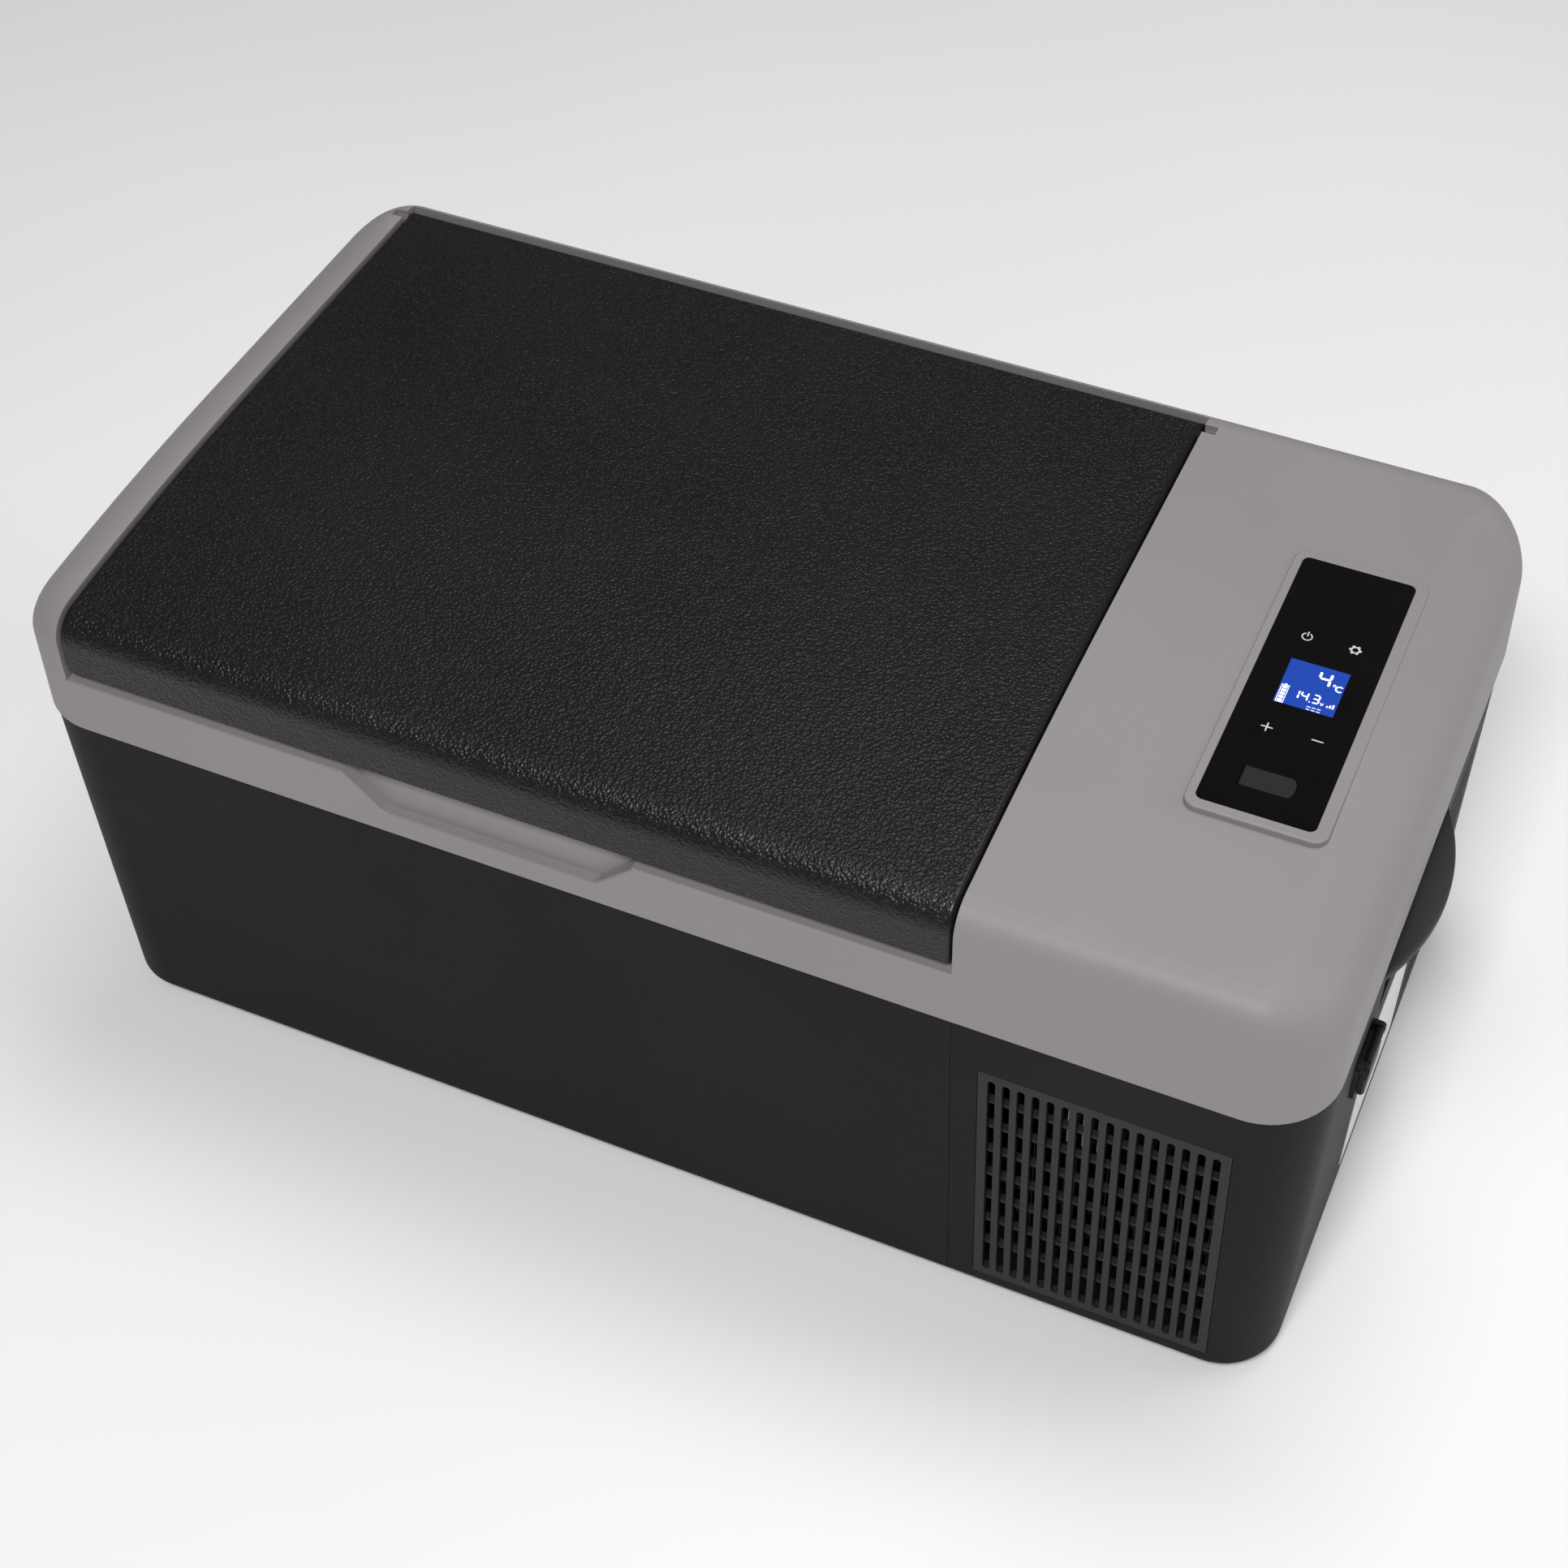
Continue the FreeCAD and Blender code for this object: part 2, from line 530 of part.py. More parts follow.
def lcd_module():
    x0, y0, x1, y1 = LCD
    lens = box(x0, y0, GLASS_TOP - GLASS_T, x1, y1, GLASS_TOP - 0.05)
    case = box(x0 - 3, y0 - 4, BOARD_Z1, x1 + 3, y1 + 4, GLASS_TOP - GLASS_T)
    return fuse([case, lens])


BOARD = (211.0, -64.0, 247.0, 68.0)                     # circuit board, seen from above
BOARD_Z0, BOARD_Z1 = 250.0, 251.6
SPACERS_X, SPACERS_Y, SPACER_R = (215.0, 243.0), (-36.0, 60.0), 2.5
CHIP, CHIP_T = (222.0, 30.0, 234.0, 42.0), 2.0
CONNECTOR, CONNECTOR_T = (216.0, -30.0, 242.0, -22.0), 6.0
PORT_BODY, PORT_TOP_Z = (219.5, -58.0, 238.5, -49.0), 259.0
PORT_HOLE = (222.0, -56.2, 236.0, -50.8)
PORT_TONGUE, TONGUE_TOP_Z = (223.5, -52.6, 234.5, -51.2), 258.0


def upright_box(area, z0, z1):
    """Box over an area given as x0, y0, x1, y1."""
    x0, y0, x1, y1 = area
    return box(x0, y0, z0, x1, y1, z1)


def control_board():
    """Circuit board under the glass with its spacers and a few parts."""
    board = upright_box(BOARD, BOARD_Z0, BOARD_Z1)
    under_glass = GLASS_TOP - GLASS_T
    spacers = [rod(V(x, y, BOARD_Z1), V(x, y, under_glass), SPACER_R) for x in SPACERS_X for y in SPACERS_Y]
    chip = upright_box(CHIP, BOARD_Z0 - CHIP_T, BOARD_Z0)
    connector = upright_box(CONNECTOR, BOARD_Z0 - CONNECTOR_T, BOARD_Z0)
    return fuse([board, chip, connector] + spacers)


def usb_socket():
    """Metal-shelled charging socket that faces up under the flap."""
    body = upright_box(PORT_BODY, BOARD_Z1, PORT_TOP_Z)
    port = upright_box(PORT_HOLE, BOARD_Z1 + 1, PORT_TOP_Z + 1)
    tongue = upright_box(PORT_TONGUE, BOARD_Z1 + 1, TONGUE_TOP_Z)
    return fuse([body.cut(port), tongue.common(port)])


def usb_cover():
    """Flap with a half-round hinge end, stub pins and a bowed pull end with a soft edge."""
    x0, y0, x1, y1 = USB
    z0, z1 = USB_AXIS_Z - USB_T / 2, USB_AXIS_Z + USB_T / 2
    plate = flap_block(USB_AXIS_X, 0, z0, z1)
    upright = [edge for edge in plate.Edges if edge.BoundBox.ZLength > USB_T - 0.01]
    plate = plate.makeFillet(1.0, [edge for edge in upright if edge.BoundBox.XMin > x1 - 3])
    on_top = [edge for edge in plate.Edges if edge.BoundBox.ZMin > z1 - 0.01]
    rim = [edge for edge in on_top if edge.BoundBox.XMax > USB_AXIS_X + 1]
    plate = plate.makeFillet(0.3, rim)
    barrel = rod(V(USB_AXIS_X, y0, USB_AXIS_Z), V(USB_AXIS_X, y1, USB_AXIS_Z), USB_T / 2)
    return fuse([plate, barrel, usb_pins(USB_PIN_R, 1.0)])


# ---- supply socket on the end wall --------------------------------------------------
CAP_AXIS = (-3.8, 10.6)                                 # depth and height from the socket's centre
CAP_PIN_R, EAR_R = 0.8, 1.9


def dc_socket():
    """Flanged supply inlet with two blades and two hinge ears."""
    flange = box(-13, -2, -10, 13, 0, 8.5)
    barrel = box(-SOCKET_HALF_W, 0, -SOCKET_HALF_H, SOCKET_HALF_W, 20, SOCKET_HALF_H)
    well = box(-7, -3, -5, 7, 14, 5)
    y, z = CAP_AXIS
    socket = fuse([flange, barrel]).cut(well)
    blades = [rod(V(x, 7, 0), V(x, 14, 0), 1.2) for x in (-3.5, 3.5)]
    ears = []
    r = EAR_R
    for x0, x1 in ((-12.5, -10), (10, 12.5)):
        arm, front = box(x0, y, 6, x1, -0.1, z + r), box(x0, y - r, 8.4, x1, y, z)
        ears.append(fuse([arm, front, rod(V(x0, y, z), V(x1, y, z), r)]))
    bore = rod(V(-20, y, z), V(20, y, z), CAP_PIN_R + PIN_CLEAR)
    return fuse([socket] + blades + ears).cut(bore)


def dc_socket_cap():
    """Splash cap with cut corners, hinged along its upper edge."""
    y, z = CAP_AXIS
    outline = [(-12, -7), (-9, -10), (9, -10), (12, -7), (12, 2.4), (9.4, 5), (9.4, 9), (-9.4, 9), (-9.4, 5),
               (-12, 2.4)]
    points = [V(x, -2.3, height) for x, height in outline]
    plate = Part.Face(Part.makePolygon(points + points[:1])).extrude(V(0, -3, 0))
    front = [edge for edge in plate.Edges if edge.BoundBox.YMax < -5.2]
    plate = plate.makeChamfer(0.9, front)
    knuckle = rod(V(-9.4, y, z), V(9.4, y, z), 1.8)
    pin = rod(V(-12.2, y, z), V(12.2, y, z), CAP_PIN_R)
    return fuse([plate, knuckle, pin])


def socket_on_wall(shape):
    sx, sz = SOCKET_AT
    placed = shape.copy()
    placed.translate(V(sx, 0, sz))
    return on_wall(placed, "right")


def rating_label():
    x0, z0, x1, z1 = LABEL
    return on_wall(box(x0, -0.3, z0, x1, 0, z1), "right")


# ---- lid ----------------------------------------------------------------------------
def lid_inside(inset_x, y0, y1, z0, inset):
    """Part of the inset cover form between two depths, for the lid's hollow."""
    form = cover_block(inset, COVER_LOW_Z)
    return form.common(box(LID_X0 + inset_x, y0, z0, LID_X1 - inset_x, y1, 300))


def hinge_pins():
    pins = []
    for x0, x1 in ((LID_X0 - PIN_REACH, LID_X0 + 12), (LID_X1 - 12, LID_X1 + PIN_REACH)):
        pins.append(rod(V(x0, HINGE_Y, HINGE_Z), V(x1, HINGE_Y, HINGE_Z), PIN_R))
    return Part.makeCompound(pins)


def is_lid_side(edge):
    """True for the outer edges along the lid's left and right sides."""
    middle = edge.valueAt((edge.FirstParameter + edge.LastParameter) / 2)
    points = [vertex.Point for vertex in edge.Vertexes] + [middle]
    at_side = any(all(abs(point.x - x) < 0.01 for point in points) for x in (LID_X0, LID_X1))
    over_top = middle.z > TOP_Z - 4 and middle.y < HINGE_Y
    on_knee = middle.y < -HALF_WID + EDGE_FRONT and middle.z > LID_UNDER_Z
    down_front = middle.z > APRON_Z + 0.1 and (middle.y < APRON_INNER_Y - 2.5 or on_knee)
    return at_side and (over_top or down_front)


def lid_skin():
    """Wrap-over skin: top, front apron, side walls and a round-nosed hinge spine."""
    form = cover_block(LID_INSET, COVER_LOW_Z)
    skin = form.common(box(LID_X0, -300, APRON_Z, LID_X1, HINGE_Y + 20, 300))
    behind = box(-300, HINGE_Y, 0, 300, 300, 300)
    nose = rod(V(-300, HINGE_Y, HINGE_Z), V(300, HINGE_Y, HINGE_Z), HINGE_NOSE_R)
    skin = skin.cut(behind.cut(nose))
    skin = skin.cut(box(-300, APRON_INNER_Y, 0, 300, 300, LID_UNDER_Z))
    return skin.makeFillet(LID_SIDE_R, [edge for edge in skin.Edges if is_lid_side(edge)])


def lid_parts():
    """Skin, inner pan with its plug, foam core, gasket and hinge pins."""
    pins = hinge_pins()
    hollow = lid_inside(LID_T, APRON_INNER_Y, SPINE_Y, LID_UNDER_Z - 20, LID_INSET + LID_T)
    shell = lid_skin().cut(hollow).cut(pins)
    x0, x1 = LID_X0 + LID_T, LID_X1 - LID_T
    cx0, cy0, cz, cx1, cy1 = CABIN
    plate = box(x0, APRON_INNER_Y, LID_UNDER_Z, x1, SPINE_Y, LID_UNDER_Z + 2.4)
    plug = rounded_block(cx0 + 7, cy0 + 7, cx1 - 7, cy1 - 7, CABIN_R - 5, LID_UNDER_Z - 10, LID_UNDER_Z)
    low = [edge for edge in plug.Edges if edge.BoundBox.ZMax < LID_UNDER_Z - 9.9]
    plug = plug.makeFillet(3.0, low)
    core_z0, core_z1 = LID_UNDER_Z - 7.5, LID_UNDER_Z + 2.4
    core = rounded_block(cx0 + 10, cy0 + 10, cx1 - 10, cy1 - 10, CABIN_R - 8, core_z0, core_z1)
    liner = fuse([plate, plug]).cut(core)
    foam = fuse([hollow.common(box(-300, -300, core_z1, 300, 300, 300)), core])
    gasket = rounded_block(cx0 - 14, cy0 - 14, cx1 + 14, cy1 + 14, 24, DECK_Z + 0.3, LID_UNDER_Z)
    gasket = gasket.cut(rounded_block(cx0 - 5, cy0 - 5, cx1 + 5, cy1 + 5, 16, DECK_Z, LID_UNDER_Z))
    return shell, liner, foam, gasket, pins


# ---- compressor bay -----------------------------------------------------------------
BAY_FLOOR = FOOT_H + BODY_T
COIL_Y, COIL_X0, COIL_X1 = -124.0, 158.0, 252.0
COIL_LEVELS = [34.0 + 18.0 * n for n in range(4)]
COIL_TUBE_R, COIL_BEND = 2.5, 9.0
FIN_COUNT, FIN_T = 20, 0.5
FAN_Y, FAN_X, FAN_Z = -94.0, 205.0, 62.0                # centre of the fan
FAN_HALF, FAN_DEPTH = 46.0, 25.0
ROTOR_R, HUB_R, BLADE_COUNT = 41.0, 17.0, 7
CAN_X, CAN_Y, CAN_Z, CAN_R = 212.0, 52.0, 24.0, 48.0
BRACKET_T = 2.5


def coil_inlet():
    return V(COIL_X0 - 4, COIL_Y + 40, COIL_LEVELS[0])


def condenser_tube():
    """Serpentine of level passes joined by half-turn bends, with an inlet leg from behind."""
    corner = V(COIL_X0 - 4, COIL_Y, COIL_LEVELS[0])
    inlet = coil_inlet()
    bend, small = COIL_BEND, COIL_BEND - 3
    lead = small * (1 - math.sqrt(0.5))
    edges = [Part.makeLine(inlet, corner + V(0, small, 0))]
    position = corner + V(small, 0, 0)
    edges.append(Part.Arc(corner + V(0, small, 0), corner + V(lead, lead, 0), position).toShape())
    for index, z in enumerate(COIL_LEVELS):
        outward = 1 if index % 2 == 0 else -1
        turn_x = COIL_X1 if outward > 0 else COIL_X0
        stop = V(turn_x, COIL_Y, z)
        edges.append(Part.makeLine(position, stop))
        if index + 1 < len(COIL_LEVELS):
            tip = V(turn_x + outward * bend, COIL_Y, z + bend)
            above = V(turn_x, COIL_Y, z + 2 * bend)
            edges.append(Part.Arc(stop, tip, above).toShape())
            position = above
    profile = Part.Wire(Part.makeCircle(COIL_TUBE_R, inlet, V(0, -1, 0)))
    return Part.Wire(edges).makePipeShell([profile], True, True)


def condenser_fins():
    """Thin upright plates threaded on the serpentine."""
    z0, z1 = COIL_LEVELS[0] - 10, COIL_LEVELS[-1] + 10
    plate = box(0, COIL_Y - 10, z0, FIN_T, COIL_Y + 10, z1)
    for z in COIL_LEVELS:
        plate = plate.cut(rod(V(-1, COIL_Y, z), V(2, COIL_Y, z), COIL_TUBE_R))
    pitch = (COIL_X1 - COIL_X0 - 8) / (FIN_COUNT - 1)
    fins = []
    for index in range(FIN_COUNT):
        fin = plate.copy()
        fin.translate(V(COIL_X0 + 4 + index * pitch - FIN_T / 2, 0, 0))
        fins.append(fin)
    return Part.makeCompound(fins)


def fan_shroud():
    """Square fan housing: ring, four struts, motor seat and a bracket to the floor."""
    y0, y1 = FAN_Y - FAN_DEPTH / 2, FAN_Y + FAN_DEPTH / 2
    frame = box(FAN_X - FAN_HALF, y0, FAN_Z - FAN_HALF, FAN_X + FAN_HALF, y1, FAN_Z + FAN_HALF)
    upright = [edge for edge in frame.Edges if edge.BoundBox.YLength > FAN_DEPTH - 0.1]
    frame = frame.makeFillet(5.0, upright)
    frame = frame.cut(rod(V(FAN_X, y0 - 1, FAN_Z), V(FAN_X, y1 + 1, FAN_Z), ROTOR_R + 1.5))
    struts = []
    for angle in (45, 135, 225, 315):
        strut = box(HUB_R - 3, y1 - 3, -2, ROTOR_R + 3, y1, 2)
        strut.rotate(V(0, 0, 0), V(0, 1, 0), angle)
        strut.translate(V(FAN_X, 0, FAN_Z))
        struts.append(strut)
    seat = rod(V(FAN_X, y1 - 3, FAN_Z), V(FAN_X, y1, FAN_Z), HUB_R - 1)
    bracket = box(FAN_X - 40, y0 + 4, BAY_FLOOR, FAN_X + 40, y1 - 4, FAN_Z - FAN_HALF + 1)
    shroud = fuse([frame, seat, bracket] + struts)
    shroud = shroud.cut(rod(V(FAN_X, y1 - 4, FAN_Z), V(FAN_X, y1 + 1, FAN_Z), SHAFT_R + PIN_CLEAR))
    for centre in fan_screw_centres():
        shroud = shroud.cut(rod(centre, centre + V(0, 60, 0), SCREW_R))
    return shroud


SHAFT_R = 1.5


def fan_rotor():
    """Hub with pitched blades and a stub shaft that runs in the motor seat."""
    y0, y1 = FAN_Y - FAN_DEPTH / 2 + 2, FAN_Y + FAN_DEPTH / 2 - 4
    hub = rod(V(FAN_X, y0, FAN_Z), V(FAN_X, y1, FAN_Z), HUB_R)
    shaft = rod(V(FAN_X, y1, FAN_Z), V(FAN_X, y1 + 3.6, FAN_Z), SHAFT_R)
    blades = []
    for index in range(BLADE_COUNT):
        blade = box(HUB_R - 2, -0.8, -9, ROTOR_R - 0.7, 0.8, 9)
        blade.rotate(V(0, 0, 0), V(1, 0, 0), 50)
        blade.rotate(V(0, 0, 0), V(0, 1, 0), index * 360 / BLADE_COUNT)
        blade.translate(V(FAN_X, (y0 + y1) / 2, FAN_Z))
        blades.append(blade)
    sweep = rod(V(FAN_X, y0, FAN_Z), V(FAN_X, y1, FAN_Z), ROTOR_R)
    blades = [blade.common(sweep) for blade in blades]
    return fuse([hub, shaft] + blades)


def fan_screw_centres():
    y = FAN_Y - FAN_DEPTH / 2
    off = FAN_HALF - 5
    return [V(FAN_X + sx * off, y, FAN_Z + sz * off) for sx in (-1, 1) for sz in (-1, 1)]


def fan_screws():
    screws = []
    for centre in fan_screw_centres():
        head = rod(centre - V(0, 2, 0), centre, 3.4)
        screws.append(fuse([head, rod(centre, centre + V(0, 20, 0), SCREW_R)]))
    return Part.makeCompound(screws)


def compressor_can():
    """Welded hermetic can: domed ends, seam flange at mid height and two pipe stubs."""
    r, z, h = CAN_R, CAN_Z, 104.0
    can = rod(V(0, 0, z), V(0, 0, z + h), r)
    top = [edge for edge in can.Edges if edge.BoundBox.ZMin > z + h - 0.01]
    can = can.makeFillet(30.0, top)
    bottom = [edge for edge in can.Edges if edge.BoundBox.ZMax < z + 0.01]
    can = can.makeFillet(18.0, bottom)
    seam = rod(V(0, 0, z + 58), V(0, 0, z + 61), r + 3)
    stubs = [rod(V(0, y, height), V(-r - 8, y, height), 4.0) for y, height in STUBS]
    whole = fuse([can, seam] + stubs)
    whole.translate(V(CAN_X, CAN_Y, 0))
    return whole


STUBS = [(-12.0, 72.0), (8.0, 96.0)]                    # side offset and height of each pipe stub


def bracket_feet():
    return [V(CAN_X + sx * 50, CAN_Y + sy * 42, BAY_FLOOR) for sx in (-1, 1) for sy in (-1, 1)]


def compressor_bracket():
    """Pressed plate under the can with a lug at each rubber mount."""
    z0 = CAN_Z - BRACKET_T
    strips = []
    for sy in (-1, 1):
        y = CAN_Y + sy * 42
        strips.append(box(CAN_X - 58, y - 9, z0, CAN_X + 58, y + 9, CAN_Z))
    cross = box(CAN_X - 22, CAN_Y - 50, z0, CAN_X + 22, CAN_Y + 50, CAN_Z)
    plate = fuse(strips + [cross])
    for centre in bracket_feet():
        plate = plate.cut(rod(centre, centre + V(0, 0, 40), 5.0))
    return plate


def compressor_mounts():
    """Grooved rubber mounts between the bracket and the bay floor."""
    mounts = []
    for centre in bracket_feet():
        low = rod(centre, V(centre.x, centre.y, CAN_Z - BRACKET_T), 9.0)
        neck = rod(centre, V(centre.x, centre.y, CAN_Z), 5.0)
        cap = rod(V(centre.x, centre.y, CAN_Z), V(centre.x, centre.y, CAN_Z + 5), 8.0)
        mounts.append(fuse([low, neck, cap]).cut(rod(centre, centre + V(0, 0, 40), 3.0)))
    return Part.makeCompound(mounts)


def compressor_bolts():
    bolts = []
    for centre in bracket_feet():
        shank = rod(centre, V(centre.x, centre.y, CAN_Z + 5), 3.0)
        head = rod(V(centre.x, centre.y, CAN_Z + 5), V(centre.x, centre.y, CAN_Z + 9), 5.5)
        bolts.append(fuse([shank, head]))
    return Part.makeCompound(bolts)


def terminal_cover():
    """Moulded cover over the can's electrical pins."""
    block = box(CAN_X + 40, CAN_Y - 16, 62, CAN_X + 58, CAN_Y + 16, 78)
    return block.cut(compressor_can())


DRIER_AT = (164.0, -58.0)


def drier():
    """Filter drier: a small cylinder with necked ends, standing beside the bulkhead."""
    x, y = DRIER_AT
    low, high = V(x, y, 70), V(x, y, 140)
    neck_low = Part.makeCone(TUBE_R, 9.0, 10, low - V(0, 0, 10))
    neck_high = Part.makeCone(9.0, TUBE_R, 10, high)
    return fuse([rod(low, high, 9.0), neck_low, neck_high])


def pipework():
    """Suction, discharge and liquid lines between the bay's parts."""
    x = CAN_X - CAN_R - 8
    pass_y, pass_z = TUBE_PASSES_Y[1], TUBE_PASS_Z
    side, height = STUBS[1]
    suction = tube([V(146, pass_y, pass_z), V(x - 4, pass_y, pass_z), V(x - 4, CAN_Y + side, height),
                    V(x, CAN_Y + side, height)], TUBE_R, 3.6)
    side, height = STUBS[0]
    coil_end = coil_inlet()
    discharge = tube([V(x, CAN_Y + side, height), V(x - 8, CAN_Y + side, height), V(x - 8, -36, height),
                      coil_end + V(0, 24, 0), coil_end], COIL_TUBE_R, 6.0)
    dx, dy = DRIER_AT
    capillary = tube([V(dx, dy, 150), V(dx, dy, pass_z), V(146, TUBE_PASSES_Y[0], pass_z)], 1.6, 5.0)
    return suction, discharge, capillary


DRIVER = (182.0, -112.0, 114.0, 240.0, -84.0, 158.0)    # x0, y0, z0, x1, y1, z1
SINK_Z0, SINK_Z1, SINK_BASE_T, SINK_FIN_T = 112.0, 160.0, 4.0, 2.0
SINK_FINS, SINK_PITCH, SINK_FRONT_Y = 8, 6.5, -137.0
WIRE_Y, SUPPLY_WIRE_R, SIGNAL_WIRE_R = -95.0, 1.3, 1.2


def driver_case():
    """Motor driver in a cast box that hangs from a plate on the bulkhead."""
    hanger = box(SEAM_X + 0.3, -100, DRIVER[2] + 6, DRIVER[0], -97, DRIVER[5] - 6)
    return fuse([box(*DRIVER), hanger])


def heat_sink():
    """Upright cooling fins in front of the motor driver."""
    x0, x1, base_y = DRIVER[0] + 2, DRIVER[3] - 2, DRIVER[1] - SINK_BASE_T
    parts = [box(x0, base_y, SINK_Z0, x1, DRIVER[1], SINK_Z1)]
    for index in range(SINK_FINS):
        x = x0 + 1 + index * SINK_PITCH
        parts.append(box(x, SINK_FRONT_Y, SINK_Z0, x + SINK_FIN_T, base_y, SINK_Z1))
    return fuse(parts)


def supply_wire(offset):
    """Insulated wire from the inlet to the motor driver, held in the bay."""
    sx, sz = SOCKET_AT
    x = BASE_HALF_LEN - 16
    z = FOOT_H + sz + offset
    points = [V(x, sx, z), V(x - 9, sx, z), V(x - 13, WIRE_Y, z), V(DRIVER[3], WIRE_Y, z)]
    return tube(points, SUPPLY_WIRE_R, 5.0)


def signal_wire():
    """Yellow sensor wire that drops from the panel and crosses behind the grille."""
    points = [V(244, -60, BOARD_Z0 - 1), V(246, -62, 216), V(264, -98, 172), V(266, -137, 141),
              V(250, -139, 139), V(248, -104, 139), V(DRIVER[3], -104, 139)]
    return tube(points, SIGNAL_WIRE_R, 4.0)


# ---- write every sub-part -----------------------------------------------------------
def grille_on_wall(area, slots, side):
    x0, z0, x1, z1 = area
    panel = grille_panel(x1 - x0 - 2 * GRILLE_GAP, z1 - z0 - 2 * GRILLE_GAP, slots)
    panel.translate(V(x0 + GRILLE_GAP, 0, z0 + GRILLE_GAP))
    return on_wall(panel, side)


cabinet, bay = body_shells()
save("cabinet_shell", cabinet)
save("compressor_bay_shell", bay)
save("top_cover", top_cover())
save("hinge_cradles", hinge_cradles())
liner = inner_liner()
coil = evaporator_tube()
save("inner_liner", liner.cut(cabin_light()))
save("cabin_light", cabin_light())
save("evaporator_tube", coil)
save("cabinet_foam", cabinet_foam(liner, coil))
for name, centre in zip(("front_left", "back_left", "front_right", "back_right"), foot_centres()):
    save("foot_" + name, foot(centre))
save("foot_screws", foot_screws())
save("grip_right", on_wall(grip(), "right"))
save("grip_left", on_wall(grip(), "left"))
gx0, gz0, gx1, gz1 = GRILLE
save("grille_front", grille_on_wall(GRILLE, SLOT_COUNT, "front").cut(bay))
save("grille_back", grille_on_wall((-gx1, gz0, -gx0, gz1), SLOT_COUNT, "back").cut(bay))
save("grille_end", grille_on_wall(END_GRILLE, 9, "right").cut(bay))

shell, lid_liner, lid_foam, gasket, pins = lid_parts()
save("lid_shell", shell)
save("lid_liner", lid_liner)
save("lid_foam", lid_foam)
save("lid_gasket", gasket)
save("hinge_pins", pins)

save("panel_pad", panel_pad())
save("panel_glass", panel_glass())
save("lcd_module", lcd_module())
save("control_board", control_board())
save("usb_socket", usb_socket())
save("usb_cover", usb_cover())
save("dc_socket", socket_on_wall(dc_socket()))
save("dc_socket_cap", socket_on_wall(dc_socket_cap()))
save("rating_label", rating_label())

save("condenser_tube", condenser_tube())
save("condenser_fins", condenser_fins())
save("fan_shroud", fan_shroud())
save("fan_rotor", fan_rotor())
save("fan_screws", fan_screws())
save("compressor_can", compressor_can())
save("compressor_bracket", compressor_bracket())
save("compressor_mounts", compressor_mounts())
save("compressor_bolts", compressor_bolts())
save("terminal_cover", terminal_cover())
save("filter_drier", drier())
suction, discharge, capillary = pipework()
save("suction_pipe", suction)
save("discharge_pipe", discharge)
save("capillary_pipe", capillary)
save("driver_case", driver_case())
save("driver_heat_sink", heat_sink())
save("supply_wire_red", supply_wire(2.0))
save("supply_wire_black", supply_wire(-2.0))
save("signal_wire_yellow", signal_wire())
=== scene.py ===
"""Compressor cooler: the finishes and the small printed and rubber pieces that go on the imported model.

Sections follow the cooler as it is put together: studio, cabinet, cover, cabin, lid, panel,
end walls, compressor bay. Lengths are in metres; outlines and profiles are in millimetres.
"""
import bmesh
import bpy
import numpy as np
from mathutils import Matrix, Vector


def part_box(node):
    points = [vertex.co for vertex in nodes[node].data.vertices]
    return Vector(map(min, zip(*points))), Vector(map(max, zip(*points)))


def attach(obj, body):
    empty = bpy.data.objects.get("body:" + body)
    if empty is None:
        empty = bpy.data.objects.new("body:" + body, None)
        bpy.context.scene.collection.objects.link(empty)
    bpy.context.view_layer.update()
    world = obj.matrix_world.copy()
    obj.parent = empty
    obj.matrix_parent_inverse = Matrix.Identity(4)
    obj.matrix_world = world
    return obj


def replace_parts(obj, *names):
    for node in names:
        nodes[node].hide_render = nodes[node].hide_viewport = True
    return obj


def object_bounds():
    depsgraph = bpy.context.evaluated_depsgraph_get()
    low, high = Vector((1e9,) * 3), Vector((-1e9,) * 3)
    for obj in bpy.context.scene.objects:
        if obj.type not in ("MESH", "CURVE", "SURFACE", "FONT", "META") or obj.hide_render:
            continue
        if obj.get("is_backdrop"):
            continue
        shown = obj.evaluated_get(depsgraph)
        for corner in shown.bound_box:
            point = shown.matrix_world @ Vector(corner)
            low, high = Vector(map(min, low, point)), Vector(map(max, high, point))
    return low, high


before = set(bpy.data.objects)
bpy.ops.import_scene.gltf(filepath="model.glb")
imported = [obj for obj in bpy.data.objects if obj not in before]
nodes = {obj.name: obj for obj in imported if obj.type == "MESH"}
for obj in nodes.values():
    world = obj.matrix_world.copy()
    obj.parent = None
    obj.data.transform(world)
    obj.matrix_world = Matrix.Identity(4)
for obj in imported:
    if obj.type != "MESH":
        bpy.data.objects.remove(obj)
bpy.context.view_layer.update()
MM = 0.001


# ---- studio -------------------------------------------------------------------------
# A camera high above the front right corner, shifted to frame the cooler, a pale matt floor, a
# bright soft box in front and above, and two weaker ones overhead and at the right.
CAMERA_AT = Vector((0.3788, -0.8019, 1.0768))
CAMERA_AIM = Vector((0.0369, -0.0025, 0.2498))
CAMERA_LENS, SENSOR = 65.97, 36.0
CAMERA_SHIFT = (-0.0487, -0.1273)

camera_data = bpy.data.cameras.new("catalogue_camera")
camera_data.lens = CAMERA_LENS
camera_data.sensor_width = SENSOR
camera_data.shift_x, camera_data.shift_y = CAMERA_SHIFT
camera_data.clip_start, camera_data.clip_end = 0.05, 30.0
camera = bpy.data.objects.new("catalogue_camera", camera_data)
camera.rotation_mode = "QUATERNION"
camera.location = CAMERA_AT
camera.rotation_quaternion = (CAMERA_AIM - CAMERA_AT).to_track_quat("-Z", "Y")
bpy.context.scene.collection.objects.link(camera)
bpy.context.scene.camera = camera
bpy.context.scene.view_settings.view_transform = "Standard"


